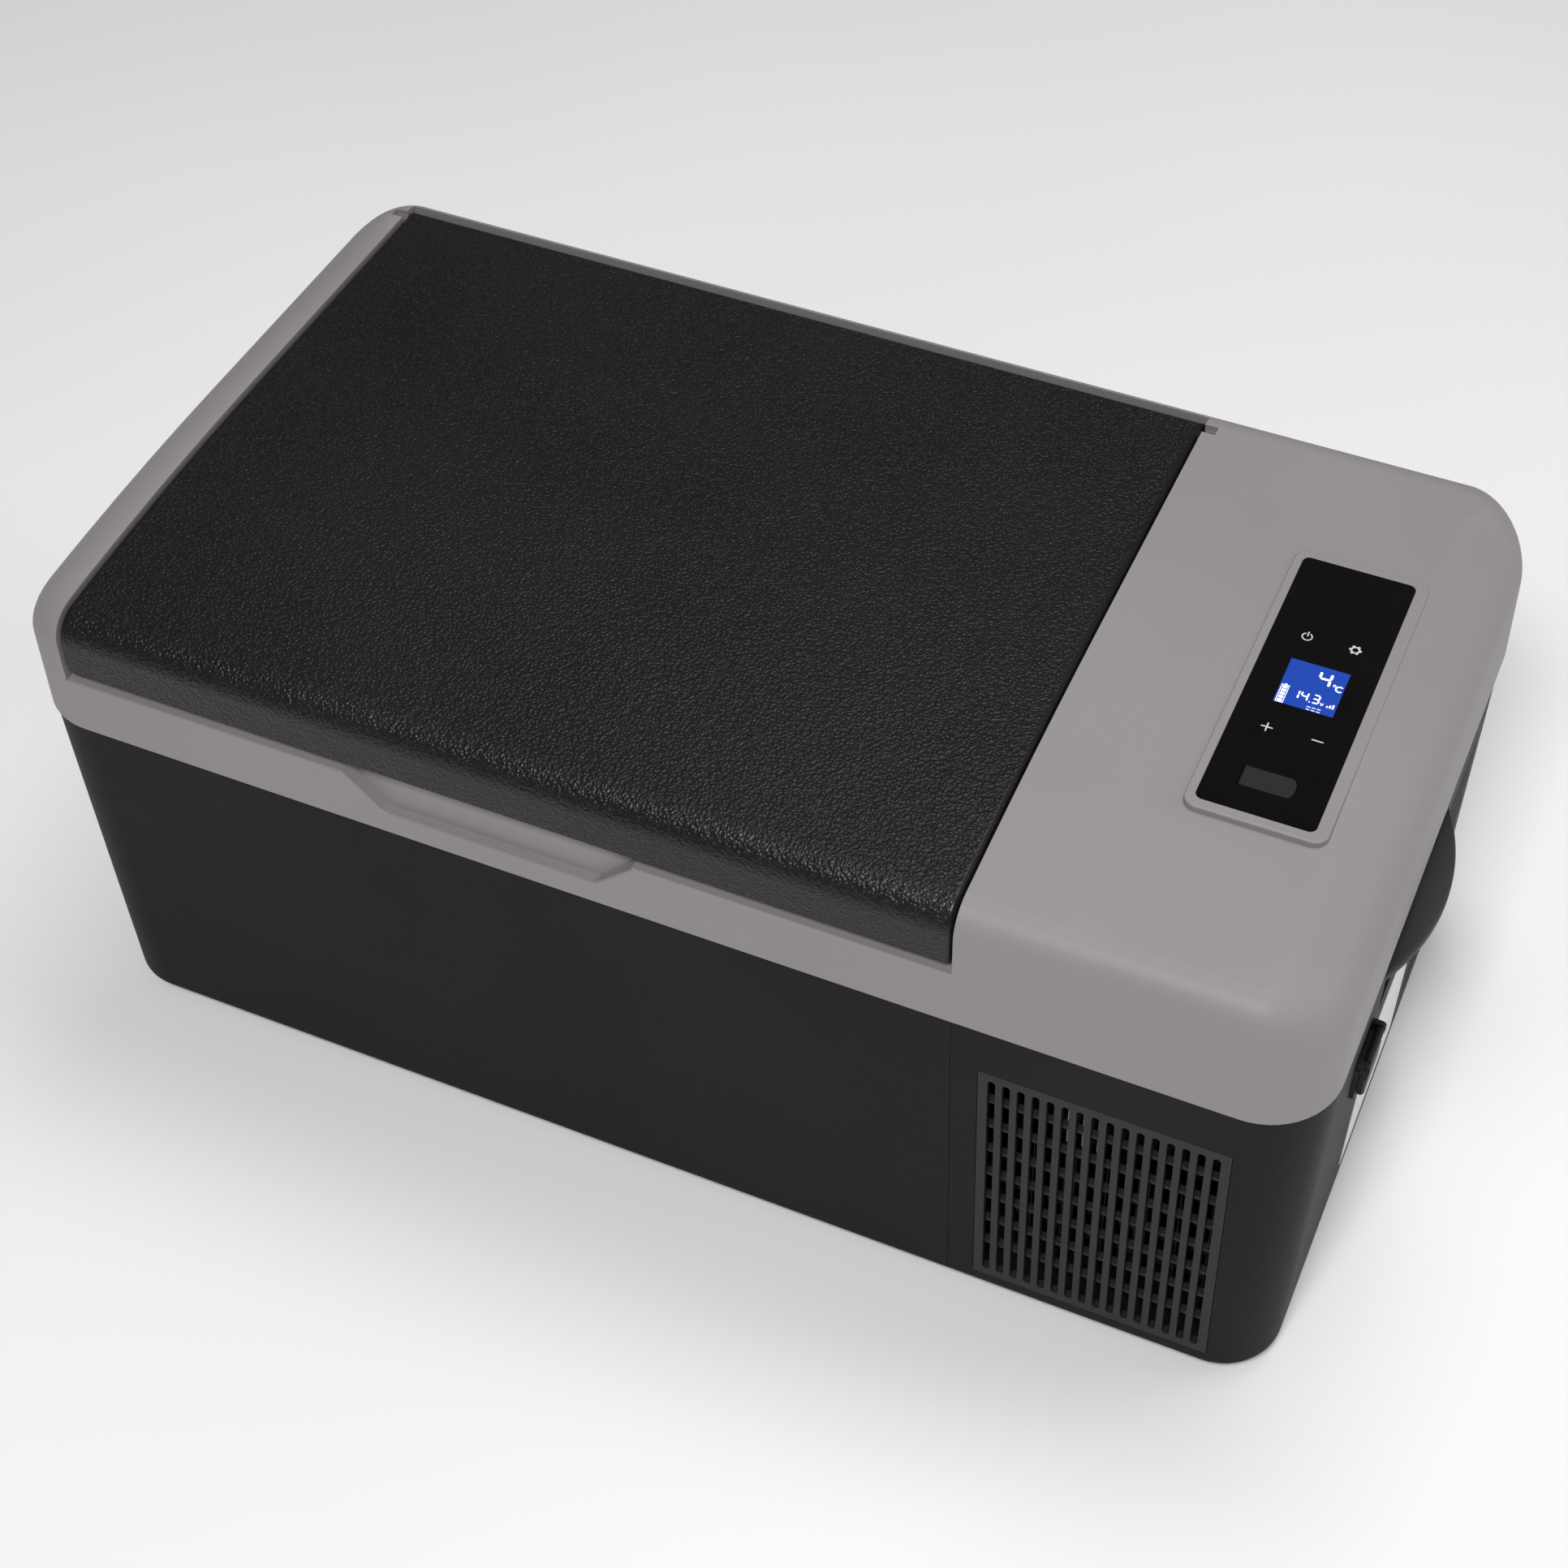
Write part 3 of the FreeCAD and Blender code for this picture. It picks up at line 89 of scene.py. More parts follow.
def linear(hex_colour):
    """Linear RGBA of an sRGB hex: c / 12.92 up to 0.04045, else ((c + 0.055) / 1.055) ** 2.4."""
    c = np.array([int(hex_colour[i:i + 2], 16) for i in (1, 3, 5)]) / 255
    c = np.where(c <= 0.04045, c / 12.92, ((c + 0.055) / 1.055) ** 2.4)
    return (*c.tolist(), 1.0)


def add_node(tree, kind, settings=None, links=None):
    """Adds one shader node: settings fill its properties or sockets, links feed its sockets."""
    made = tree.nodes.new("ShaderNode" + kind)
    for key, value in (settings or {}).items():
        if isinstance(key, str) and hasattr(made, key):
            setattr(made, key, value)
        else:
            made.inputs[key].default_value = value
    for key, source in (links or {}).items():
        tree.links.new(source, made.inputs[key])
    return made


def start_material(name, settings):
    """An empty material with one Principled shader, and Object coordinates to drive it."""
    material = bpy.data.materials.new(name)
    material.use_nodes = True
    tree = material.node_tree
    tree.nodes.clear()
    shader = add_node(tree, "BsdfPrincipled", settings)
    add_node(tree, "OutputMaterial", links={"Surface": shader.outputs[0]})
    place = add_node(tree, "TexCoord").outputs["Object"]
    return material, tree, shader, place


def blend_colours(tree, stops, fac):
    """A colour ramp of (position, hex) stops, read at fac."""
    ramp = add_node(tree, "ValToRGB", links={"Fac": fac})
    elements = ramp.color_ramp.elements
    while len(elements) < len(stops):
        elements.new(0.5)
    for element, (position, colour) in zip(elements, stops):
        element.position = position
        element.color = linear(colour)
    return ramp.outputs["Color"]


LAMP_WHITE = "#FFFFFF"
AIR_COLOUR, AIR_STRENGTH = "#F2F2F2", 0.16


def soft_box(name, at, aim, size, power):
    """A rectangular area lamp of that size in metres and power in watts that faces aim."""
    lamp = bpy.data.lights.new(name, "AREA")
    lamp.shape = "RECTANGLE"
    lamp.size, lamp.size_y = size
    lamp.energy = power
    lamp.color = linear(LAMP_WHITE)[:3]
    holder = bpy.data.objects.new(name, lamp)
    holder.location = at
    holder.rotation_mode = "QUATERNION"
    holder.rotation_quaternion = (Vector(aim) - Vector(at)).to_track_quat("-Z", "Y")
    bpy.context.scene.collection.objects.link(holder)


soft_box("key_box", at=(0.35, -1.55, 2.40), aim=(0.05, 0.0, 0.2), size=(0.7, 0.5), power=47.0)
soft_box("overhead_box", at=(0.2, 0.45, 2.4), aim=(0.05, 0.0, 0.2), size=(1.3, 0.8), power=17.0)
soft_box("right_box", at=(2.0, 0.9, 1.0), aim=(0.1, 0.0, 0.2), size=(1.2, 1.2), power=10.0)

world = bpy.data.worlds.new("studio_air")
world.use_nodes = True
world.node_tree.nodes["Background"].inputs["Color"].default_value = linear(AIR_COLOUR)
world.node_tree.nodes["Background"].inputs["Strength"].default_value = AIR_STRENGTH
bpy.context.scene.world = world


FLOOR_REACH = 6.0


def painted_floor():
    """Matt emulsion paint: near white, washed over half a metre, roller stipple of 3 mm."""
    material, tree, shader, place = start_material("matt_floor_paint", {"Roughness": 0.9, "IOR": 1.45})
    stipple = add_node(tree, "TexNoise", {"Scale": 1 / (3 * MM), "Detail": 2.0}, {"Vector": place})
    wash = add_node(tree, "TexNoise", {"Scale": 2.0, "Detail": 1.0}, {"Vector": place})
    colour = blend_colours(tree, [(0.3, "#FAFAFA"), (0.7, "#FEFEFE")], wash.outputs["Fac"])
    tree.links.new(colour, shader.inputs["Base Color"])
    relief = add_node(tree, "Bump", {"Strength": 0.3, "Distance": 0.05 * MM},
                      {"Height": stipple.outputs["Fac"]})
    tree.links.new(relief.outputs[0], shader.inputs["Normal"])
    return material


def grid_mesh(name, points, close_u=False, close_v=False):
    """A mesh of quads over a grid of points, rows u by columns v, closed round where asked."""
    rows, columns = points.shape[:2]
    index = np.arange(rows * columns).reshape(rows, columns)
    if close_u:
        index = np.vstack([index, index[:1]])
    if close_v:
        index = np.hstack([index, index[:, :1]])
    a, b, c, d = index[:-1, :-1], index[:-1, 1:], index[1:, 1:], index[1:, :-1]
    quads = np.stack([a, b, c, d], -1).reshape(-1, 4)
    mesh = bpy.data.meshes.new(name)
    mesh.from_pydata(points.reshape(-1, 3).tolist(), [], quads.tolist())
    return mesh


def new_piece(name, mesh, material, smooth=True):
    """Links a mesh as an object at the origin, with its one material."""
    mesh.materials.append(material)
    mesh.polygons.foreach_set("use_smooth", np.full(len(mesh.polygons), smooth))
    mesh.update()
    piece = bpy.data.objects.new(name, mesh)
    bpy.context.scene.collection.objects.link(piece)
    return piece


def floor_sheet(reach):
    """A level sheet at height 0: x and y run evenly from -reach to reach."""
    across = np.linspace(-reach, reach, 9)
    x, y = np.meshgrid(across, across)
    return np.stack([x, y, np.zeros_like(x)], -1)


new_piece("studio_floor", grid_mesh("studio_floor", floor_sheet(FLOOR_REACH)), painted_floor())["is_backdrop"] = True


# ---- cabinet and bay shell ----------------------------------------------------------
# Injection-moulded ABS in charcoal. The mould is spark eroded, so the skin is matt, with very
# faint flow shading. The grain is drawn 0.8 mm across, coarser than it is, so that it shows.
def moulded_plastic(name, dark, light, grain, depth, rough, shade=0.12, mirror=0.25):
    """ABS or PP: colour drifts from dark to light over about shade metres, with spark-eroded
    grain of that size and depth, roughness between the two values of rough, and mirror as
    its specular level.
    """
    material, tree, shader, place = start_material(name, {"IOR": 1.53, "Specular IOR Level": mirror})
    drift = add_node(tree, "TexNoise", {"Scale": 1 / shade, "Detail": 3.0}, {"Vector": place})
    pits = add_node(tree, "TexNoise", {"Scale": 1 / grain, "Detail": 2.0}, {"Vector": place})
    share = add_node(tree, "Math", {"operation": "MULTIPLY_ADD", 1: 0.35},
                     {0: pits.outputs["Fac"], 2: drift.outputs["Fac"]})
    colour = blend_colours(tree, [(0.45, dark), (0.90, light)], share.outputs[0])
    tree.links.new(colour, shader.inputs["Base Color"])
    gloss = add_node(tree, "MapRange",
                     {"From Min": 0.3, "From Max": 0.7, "To Min": rough[0], "To Max": rough[1]},
                     {"Value": pits.outputs["Fac"]})
    tree.links.new(gloss.outputs[0], shader.inputs["Roughness"])
    relief = add_node(tree, "Bump", {"Strength": 1.0, "Distance": depth}, {"Height": pits.outputs["Fac"]})
    tree.links.new(relief.outputs[0], shader.inputs["Normal"])
    return material


def finish_nodes(material, *names):
    """Gives CAD nodes their finish, in every material slot they hold."""
    for name in names:
        for holder in nodes[name].material_slots:
            holder.material = material


charcoal_abs = moulded_plastic("charcoal_abs", "#1A191A", "#201F20", 0.8 * MM, 0.02 * MM, (0.5, 0.62),
                               mirror=0.08)
finish_nodes(charcoal_abs, "cabinet_shell", "compressor_bay_shell")


# ---- insulation ---------------------------------------------------------------------
# Rigid polyurethane foam, poured between cabinet and liner and into the lid. It is straw
# coloured with open cells of about 1.2 mm, and is only seen if the shells are taken off.
def foam_fill():
    """Rigid foam: pits where the distance to the nearest of scattered points is small, coloured darker towards their
    middles as painted shade.
    """
    material, tree, shader, place = start_material("rigid_pu_foam", {"Roughness": 0.95, "IOR": 1.4})
    cells = add_node(tree, "TexVoronoi", {"Scale": 1 / (1.2 * MM)}, {"Vector": place})
    colour = blend_colours(tree, [(0.0, "#C9B47A"), (0.6, "#E6D8A8")], cells.outputs["Distance"])
    tree.links.new(colour, shader.inputs["Base Color"])
    relief = add_node(tree, "Bump", {"Strength": 0.8, "Distance": 0.3 * MM},
                      {"Height": cells.outputs["Distance"]})
    tree.links.new(relief.outputs[0], shader.inputs["Normal"])
    return material


finish_nodes(foam_fill(), "cabinet_foam", "lid_foam")


# ---- rubber feet and mounts ---------------------------------------------------------
# Turned-looking feet of moulded rubber with two grip grooves underneath and a sunk hole
# for the screw. The compressor stands on four grooved rubber mounts of the same stock.
def soft_rubber(name, dark, light):
    """Moulded rubber: dusty bloom in patches of 6 mm over a fine 0.7 mm skin."""
    material, tree, shader, place = start_material(name, {"IOR": 1.52})
    bloom = add_node(tree, "TexNoise", {"Scale": 1 / (6 * MM), "Detail": 4.0}, {"Vector": place})
    skin = add_node(tree, "TexNoise", {"Scale": 1 / (0.7 * MM), "Detail": 2.0}, {"Vector": place})
    colour = blend_colours(tree, [(0.35, dark), (0.75, light)], bloom.outputs["Fac"])
    tree.links.new(colour, shader.inputs["Base Color"])
    gloss = add_node(tree, "MapRange", {"To Min": 0.68, "To Max": 0.88}, {"Value": bloom.outputs["Fac"]})
    tree.links.new(gloss.outputs[0], shader.inputs["Roughness"])
    relief = add_node(tree, "Bump", {"Strength": 0.7, "Distance": 0.03 * MM},
                      {"Height": skin.outputs["Fac"]})
    tree.links.new(relief.outputs[0], shader.inputs["Normal"])
    return material


def turned(profile, centres, turns=64):
    """A closed ring profile of (radius, height) carried round an upright axis at each centre:
    x = cx + r cos a, y = cy + r sin a, z = cz + h, with a over a full turn.
    """
    angle = np.linspace(0, 2 * np.pi, turns, endpoint=False)[:, None]
    radius, height = np.array(profile).T * MM
    ring = np.stack([radius * np.cos(angle), radius * np.sin(angle), height + 0 * angle], -1)
    return [ring + np.array(centre) for centre in centres]


def joined_grids(name, grids, **closing):
    """One mesh from several grids of points."""
    parts = [grid_mesh(name + "_part", grid, **closing) for grid in grids]
    points, faces = [], []
    for part in parts:
        faces += [[v + len(points) for v in face.vertices] for face in part.polygons]
        points += [tuple(v.co) for v in part.vertices]
        bpy.data.meshes.remove(part)
    mesh = bpy.data.meshes.new(name)
    mesh.from_pydata(points, [], faces)
    return mesh


black_rubber = soft_rubber("black_rubber", "#151515", "#242423")
FOOT_PROFILE = [(2.3, 6.0), (2.3, 3.0), (4.2, 3.0), (4.2, 0.5), (4.7, 0.0),
                (6.6, 0.0), (6.9, 0.8), (7.5, 0.8), (7.8, 0.0),
                (9.4, 0.0), (9.7, 0.8), (10.3, 0.8), (10.6, 0.0),
                (11.9, 0.0), (12.4, 0.3), (12.7, 0.9), (13.9, 5.4), (14.0, 6.0)]
FOOT_EDGE = 0.2 * MM
for foot in ("foot_front_left", "foot_front_right", "foot_back_left", "foot_back_right"):
    low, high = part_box(foot)
    centre = ((low.x + high.x) / 2, (low.y + high.y) / 2, low.z)
    rings = turned(FOOT_PROFILE, [centre])
    foot_mesh = joined_grids(foot + "_rubber", rings, close_u=True, close_v=True)
    piece = new_piece(foot + "_rubber", foot_mesh, black_rubber)
    piece.modifiers.new("soft_edges", "BEVEL").width = FOOT_EDGE
    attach(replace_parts(piece, foot), "cabinet")


def zinc_steel():
    """Zinc-plated steel: bluish grey metal with a spangle of about 2 mm."""
    material, tree, shader, place = start_material("zinc_plated_steel", {"Metallic": 1.0})
    spangle = add_node(tree, "TexVoronoi", {"Scale": 1 / (2 * MM)}, {"Vector": place})
    colour = blend_colours(tree, [(0.1, "#A9ACAE"), (0.8, "#C4C6C6")], spangle.outputs["Distance"])
    tree.links.new(colour, shader.inputs["Base Color"])
    gloss = add_node(tree, "MapRange", {"To Min": 0.28, "To Max": 0.45},
                     {"Value": spangle.outputs["Distance"]})
    tree.links.new(gloss.outputs[0], shader.inputs["Roughness"])
    return material


plated_steel = zinc_steel()
finish_nodes(plated_steel, "foot_screws", "fan_screws", "compressor_bolts", "compressor_bracket",
             "hinge_pins")


# ---- top cover ----------------------------------------------------------------------
# The cover is one ABS moulding in warm grey. It has the same spark-eroded mould as the
# cabinet, so its highlights are broad and soft.
warm_abs = moulded_plastic("warm_grey_abs", "#8F898A", "#959091", 0.8 * MM, 0.015 * MM, (0.46, 0.60),
                           shade=0.2, mirror=0.4)
finish_nodes(warm_abs, "top_cover", "panel_pad", "hinge_cradles")


# ---- cabin --------------------------------------------------------------------------
# Thermoformed white polystyrene liner, smooth and slightly glossy, with a frosted lens for
# the light let into its end wall.
white_liner = moulded_plastic("white_hips_liner", "#DADBDA", "#E6E7E6", 2.5 * MM, 0.01 * MM, (0.24, 0.34))
finish_nodes(white_liner, "inner_liner", "lid_liner")


def frosted_lens():
    """Opal acrylic: white with weak prism ribs, lighter on their crests and darker between them as painted shading.
    A wave's bands are 0.314 / scale = 2 mm apart.
    """
    material, tree, shader, place = start_material("opal_lens", {"Roughness": 0.3, "IOR": 1.49,
                                                                 "Transmission Weight": 0.25})
    ribs = add_node(tree, "TexWave", {"Scale": 1 / (6.3 * MM), "bands_direction": "Y"}, {"Vector": place})
    colour = blend_colours(tree, [(0.0, "#E3E6E8"), (1.0, "#F6F8F9")], ribs.outputs["Fac"])
    tree.links.new(colour, shader.inputs["Base Color"])
    relief = add_node(tree, "Bump", {"Strength": 0.6, "Distance": 0.1 * MM},
                      {"Height": ribs.outputs["Fac"]})
    tree.links.new(relief.outputs[0], shader.inputs["Normal"])
    return material


finish_nodes(frosted_lens(), "cabin_light")


# ---- lid ----------------------------------------------------------------------------
# The lid skin is black ABS moulded with a leather grain: pebbles about 1.5 mm across with
# soft creases between them. The tops are polished by handling, so they glint, and their colour is
# painted lighter than the creases, as painted sheen on the tops and painted shade in the creases.
# The grain fades out in a smooth strip along each side edge.
PEBBLE, PEBBLE_BEND, PEBBLE_DEPTH = 1.45 * MM, 1.6 * MM, 0.25 * MM
GRAIN_STOPS, STRIP_STARTS = 3.2 * MM, 2.2 * MM      # inwards from each side edge of the lid


def leather_grained_abs():
    """Pebbles: height falls off towards each cell's edge, on coordinates bent by a 2.6 mm noise
    so that no two cells are alike, and a finer noise breaks up their tops. The relief fades by
    the distance |x - middle| from the middle of the lid, between the two strip lines.
    """
    material, tree, shader, place = start_material("leather_grain_abs",
                                                   {"IOR": 1.53, "Specular IOR Level": 0.27})
    bend = add_node(tree, "TexNoise", {"Scale": 1 / (2.6 * MM), "Detail": 1.0}, {"Vector": place})
    centred = add_node(tree, "VectorMath", {"operation": "SUBTRACT", 1: (0.5, 0.5, 0.5)},
                       {0: bend.outputs["Color"]})
    moved = add_node(tree, "VectorMath", {"operation": "MULTIPLY_ADD", 1: (PEBBLE_BEND,) * 3},
                     {0: centred.outputs[0], 2: place})
    cells = add_node(tree, "TexVoronoi", {"Scale": 1 / PEBBLE, "feature": "SMOOTH_F1", "Smoothness": 0.3},
                     {"Vector": moved.outputs[0]})
    fine = add_node(tree, "TexNoise", {"Scale": 1 / (0.7 * MM), "Detail": 1.0}, {"Vector": place})
    height = add_node(tree, "MapRange", {"From Min": 0.15, "From Max": 0.75, "To Min": 1.0, "To Max": 0.0},
                      {"Value": cells.outputs["Distance"]})
    broken = add_node(tree, "Math", {"operation": "MULTIPLY_ADD", 1: 0.45},
                      {0: fine.outputs["Fac"], 2: height.outputs[0]})
    drift = add_node(tree, "TexNoise", {"Scale": 1 / (90 * MM), "Detail": 3.0}, {"Vector": place})
    # Colour follows the pebble height: lighter on the tops as painted sheen, darker in the creases as painted shade,
    # over a random drift in tone 90 mm across.
    painted_pebble_shade_and_drift = add_node(tree, "Math", {"operation": "MULTIPLY_ADD", 1: 0.5},
                     {0: broken.outputs[0], 2: drift.outputs["Fac"]})
    colour = blend_colours(tree, [(0.45, "#101010"), (1.2 / 1.3, "#191919")], painted_pebble_shade_and_drift.outputs[0])
    tree.links.new(colour, shader.inputs["Base Color"])
    gloss = add_node(tree, "MapRange", {"From Max": 1.3, "To Min": 0.40, "To Max": 0.27},
                     {"Value": broken.outputs[0]})
    tree.links.new(gloss.outputs[0], shader.inputs["Roughness"])
    axes = add_node(tree, "SeparateXYZ", links={"Vector": place})
    low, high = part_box("lid_shell")
    from_middle = add_node(tree, "Math", {"operation": "SUBTRACT", 1: (low.x + high.x) / 2},
                           {0: axes.outputs["X"]})
    sideways = add_node(tree, "Math", {"operation": "ABSOLUTE"}, {0: from_middle.outputs[0]})
    half = (high.x - low.x) / 2
    grained = add_node(tree, "MapRange", {"From Min": half - GRAIN_STOPS, "From Max": half - STRIP_STARTS,
                                          "To Min": 1.0, "To Max": 0.08}, {"Value": sideways.outputs[0]})
    relief = add_node(tree, "Bump", {"Distance": PEBBLE_DEPTH},
                      {"Height": broken.outputs[0], "Strength": grained.outputs[0]})
    tree.links.new(relief.outputs[0], shader.inputs["Normal"])
    return material


finish_nodes(leather_grained_abs(), "lid_shell")


# The seal is extruded soft PVC with a flat back, two tall rounded lips and a low one along
# each edge. Its ends are welded, and it is pressed into the lid liner all round the mouth.
SEAL_HALF, SEAL_CORNER, SEAL_GROOVE = 4.5 * MM, 20 * MM, 0.35


def seal_loop(node):
    """A flat-backed lipped profile carried round a rounded rectangle. Across the seal s runs
    -1 to 1, and the lower skin hangs by (1 - groove (1 + cos 3 pi s) / 2) sqrt(1 - s^8) of
    the depth of the node.
    """
    low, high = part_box(node)
    cx, cy = (low.x + high.x) / 2, (low.y + high.y) / 2
    hx = (high.x - low.x) / 2 - SEAL_HALF - SEAL_CORNER
    hy = (high.y - low.y) / 2 - SEAL_HALF - SEAL_CORNER
    turn = np.linspace(0, np.pi / 2, 13)
    angle = np.concatenate([turn + quarter * np.pi / 2 for quarter in range(4)])
    sign_x = np.repeat([1, -1, -1, 1], len(turn))
    sign_y = np.repeat([1, 1, -1, -1], len(turn))
    s = np.linspace(-1, 1, 31)
    drop = 1 - SEAL_GROOVE * (1 + np.cos(3 * np.pi * s)) / 2
    edge = np.sqrt(np.clip(1 - s ** 8, 0, 1))
    across = np.concatenate([s, s[::-1][1:-1]])
    below = np.concatenate([drop * edge, np.zeros(len(s) - 2)])
    out = SEAL_CORNER + across * SEAL_HALF
    x = cx + sign_x[:, None] * hx + np.cos(angle)[:, None] * out
    y = cy + sign_y[:, None] * hy + np.sin(angle)[:, None] * out
    z = high.z - (high.z - low.z) * below + 0 * x
    return np.stack([x, y, z], -1)


seal_rubber = soft_rubber("seal_pvc", "#26272A", "#303236")
seal_mesh = grid_mesh("lid_seal", seal_loop("lid_gasket"), close_u=True, close_v=True)
seal = new_piece("lid_seal", seal_mesh, seal_rubber)
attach(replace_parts(seal, "lid_gasket"), "lid")


# ---- control panel ------------------------------------------------------------------
# A gloss black acrylic overlay is let into the cover over the circuit board. Touch symbols
# are screen printed on it in light grey with a faint painted glow, and a window shows the backlit display.
def gloss_acrylic():
    """Polished black acrylic: hardly any grain, only faint wiping haze 25 mm across."""
    material, tree, shader, place = start_material("black_gloss_acrylic",
                                                   {"IOR": 1.49, "Specular IOR Level": 0.3})
    haze = add_node(tree, "TexNoise", {"Scale": 1 / (25 * MM), "Detail": 3.0}, {"Vector": place})
    colour = blend_colours(tree, [(0.3, "#050506"), (0.8, "#0A0A0B")], haze.outputs["Fac"])
    tree.links.new(colour, shader.inputs["Base Color"])
    gloss = add_node(tree, "MapRange", {"To Min": 0.07, "To Max": 0.16}, {"Value": haze.outputs["Fac"]})
    tree.links.new(gloss.outputs[0], shader.inputs["Roughness"])
    return material


finish_nodes(gloss_acrylic(), "panel_glass")


def backlit_display(node):
    """Liquid crystal cell over a blue backlight: darker within a few millimetres of its far and right
    borders, with the two fades multiplied, and equally bright elsewhere. The border fade is painted
    shade of the window's edge, and dims the emitted light as well.
    """
    low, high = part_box(node)
    material, tree, shader, place = start_material("blue_backlit_cell", {"Roughness": 0.12, "IOR": 1.49})
    axes = add_node(tree, "SeparateXYZ", links={"Vector": place})
    right = add_node(tree, "MapRange", {"From Min": high.x - 3.2 * MM, "From Max": high.x - 1.6 * MM,
                                        "To Min": 1.0, "To Max": 0.55}, {"Value": axes.outputs["X"]})
    far = add_node(tree, "MapRange", {"From Min": high.y - 3.4 * MM, "From Max": high.y - 1.8 * MM,
                                      "To Min": 1.0, "To Max": 0.45}, {"Value": axes.outputs["Y"]})
    both = add_node(tree, "Math", {"operation": "MULTIPLY"}, {0: right.outputs[0], 1: far.outputs[0]})
    colour = blend_colours(tree, [(0.2, "#001E86"), (1.0, "#1B3F9E")], both.outputs[0])
    tree.links.new(colour, shader.inputs["Base Color"])
    tree.links.new(colour, shader.inputs["Emission Color"])
    shader.inputs["Emission Strength"].default_value = 0.35
    return material


finish_nodes(backlit_display("lcd_module"), "lcd_module")


def printed_ink(name, dark, light, glow):
    """Screen-print ink or lit segments: slightly uneven over 1.5 mm, glow sets its own light."""
    material, tree, shader, place = start_material(name, {"Roughness": 0.5, "IOR": 1.5})
    uneven = add_node(tree, "TexNoise", {"Scale": 1 / (1.5 * MM), "Detail": 2.0}, {"Vector": place})
    colour = blend_colours(tree, [(0.3, dark), (0.7, light)], uneven.outputs["Fac"])
    tree.links.new(colour, shader.inputs["Base Color"])
    if glow:
        shader.inputs["Emission Color"].default_value = linear(light)
        shader.inputs["Emission Strength"].default_value = glow
    return material


def ribbon(inner, outer, closed):
    """The two edges of a flat mark, both as rows of (x, y) in millimetres, and whether it is
    a ring. A bar is a ribbon of a few points, a ring is one with round edges.
    """
    return np.array(inner, float), np.array(outer, float), closed


def stroke(x0, y0, x1, y1, width, point=0.0):
    """A straight bar between two points. Its ends narrow to an eighth over the length point."""
    a, b = np.array([x0, y0]), np.array([x1, y1])
    along = (b - a) / np.hypot(*(b - a))
    side = np.array([-along[1], along[0]]) * width / 2
    if not point:
        return ribbon([a + side, b + side], [a - side, b - side], False)
    steps = np.array([a, a + along * point, b - along * point, b])
    offset = side * np.array([[0.12], [1], [1], [0.12]])
    return ribbon(steps + offset, steps - offset, False)


def ring_arc(cx, cy, r_in, r_out, start=0.0, end=360.0, steps=40):
    """An arc between two radii, which may be numbers or functions of the angle."""
    closed = end - start >= 360
    a = np.radians(np.linspace(start, end, steps, endpoint=not closed))
    edges = []
    for r in (r_in, r_out):
        radius = r(a) if callable(r) else r
        edges.append(np.stack([cx + radius * np.cos(a), cy + radius * np.sin(a)], -1))
    return ribbon(edges[0], edges[1], closed)


def raised_marks(name, marks, z_low, z_high):
    """Every mark as a thin closed plate. Its cross-section is a rectangle carried along the
    ribbon: inner and outer edge, each at the low and the high face.
    """
    points, faces = [], []
    for inner, outer, closed in marks:
        section = np.stack([inner, inner, outer, outer], 1) * MM
        height = np.broadcast_to(np.array([z_low, z_high, z_high, z_low]), section.shape[:2])
        grid = np.concatenate([section, height[..., None]], -1)
        index = len(points) + np.arange(len(grid) * 4).reshape(-1, 4)
        rows = np.vstack([index, index[:1]]) if closed else index
        for k in range(4):
            a, b = rows[:, k], rows[:, (k + 1) % 4]
            faces += np.stack([a[:-1], b[:-1], b[1:], a[1:]], -1).tolist()
        if not closed:
            faces += [index[0, ::-1].tolist(), index[-1].tolist()]
        points += grid.reshape(-1, 3).tolist()
    mesh = bpy.data.meshes.new(name)
    mesh.from_pydata(points, [], faces)
    outward(mesh)
    return mesh


def outward(mesh):
    """Turns every closed part of a mesh so that its faces point outwards."""
    work = bmesh.new()
    work.from_mesh(mesh)
    bmesh.ops.recalc_face_normals(work, faces=work.faces)
    work.to_mesh(mesh)
    work.free()


INK_T = 0.05 * MM
KEY_LEFT, KEY_RIGHT, KEY_FAR, KEY_NEAR = 219.7, 239.8, 29.3, -25.3      # key centres, in mm
KEY_LINE = 0.6


def cog_edge(angle):
    """Six rounded teeth: the radius is 2.3 + 0.35 tanh(2 cos 6a) millimetres."""
    return 2.3 + 0.35 * np.tanh(2 * np.cos(6 * angle))


power_key = [ring_arc(KEY_LEFT, KEY_FAR, 1.75, 2.3, -245, 65, 36),
             stroke(KEY_LEFT, KEY_FAR + 0.3, KEY_LEFT, KEY_FAR + 3.0, 0.55)]
mode_key = [ring_arc(KEY_RIGHT, KEY_FAR + 0.1, 1.25, cog_edge, steps=96)]
plus_key = [stroke(KEY_LEFT, KEY_NEAR - 2.4, KEY_LEFT, KEY_NEAR + 2.4, KEY_LINE),
            stroke(KEY_LEFT - 2.4, KEY_NEAR, KEY_LEFT - 0.3, KEY_NEAR, KEY_LINE),
            stroke(KEY_LEFT + 0.3, KEY_NEAR, KEY_LEFT + 2.4, KEY_NEAR, KEY_LINE)]
minus_key = [stroke(KEY_RIGHT - 2.0, KEY_NEAR + 0.3, KEY_RIGHT + 2.8, KEY_NEAR + 0.3, KEY_LINE)]
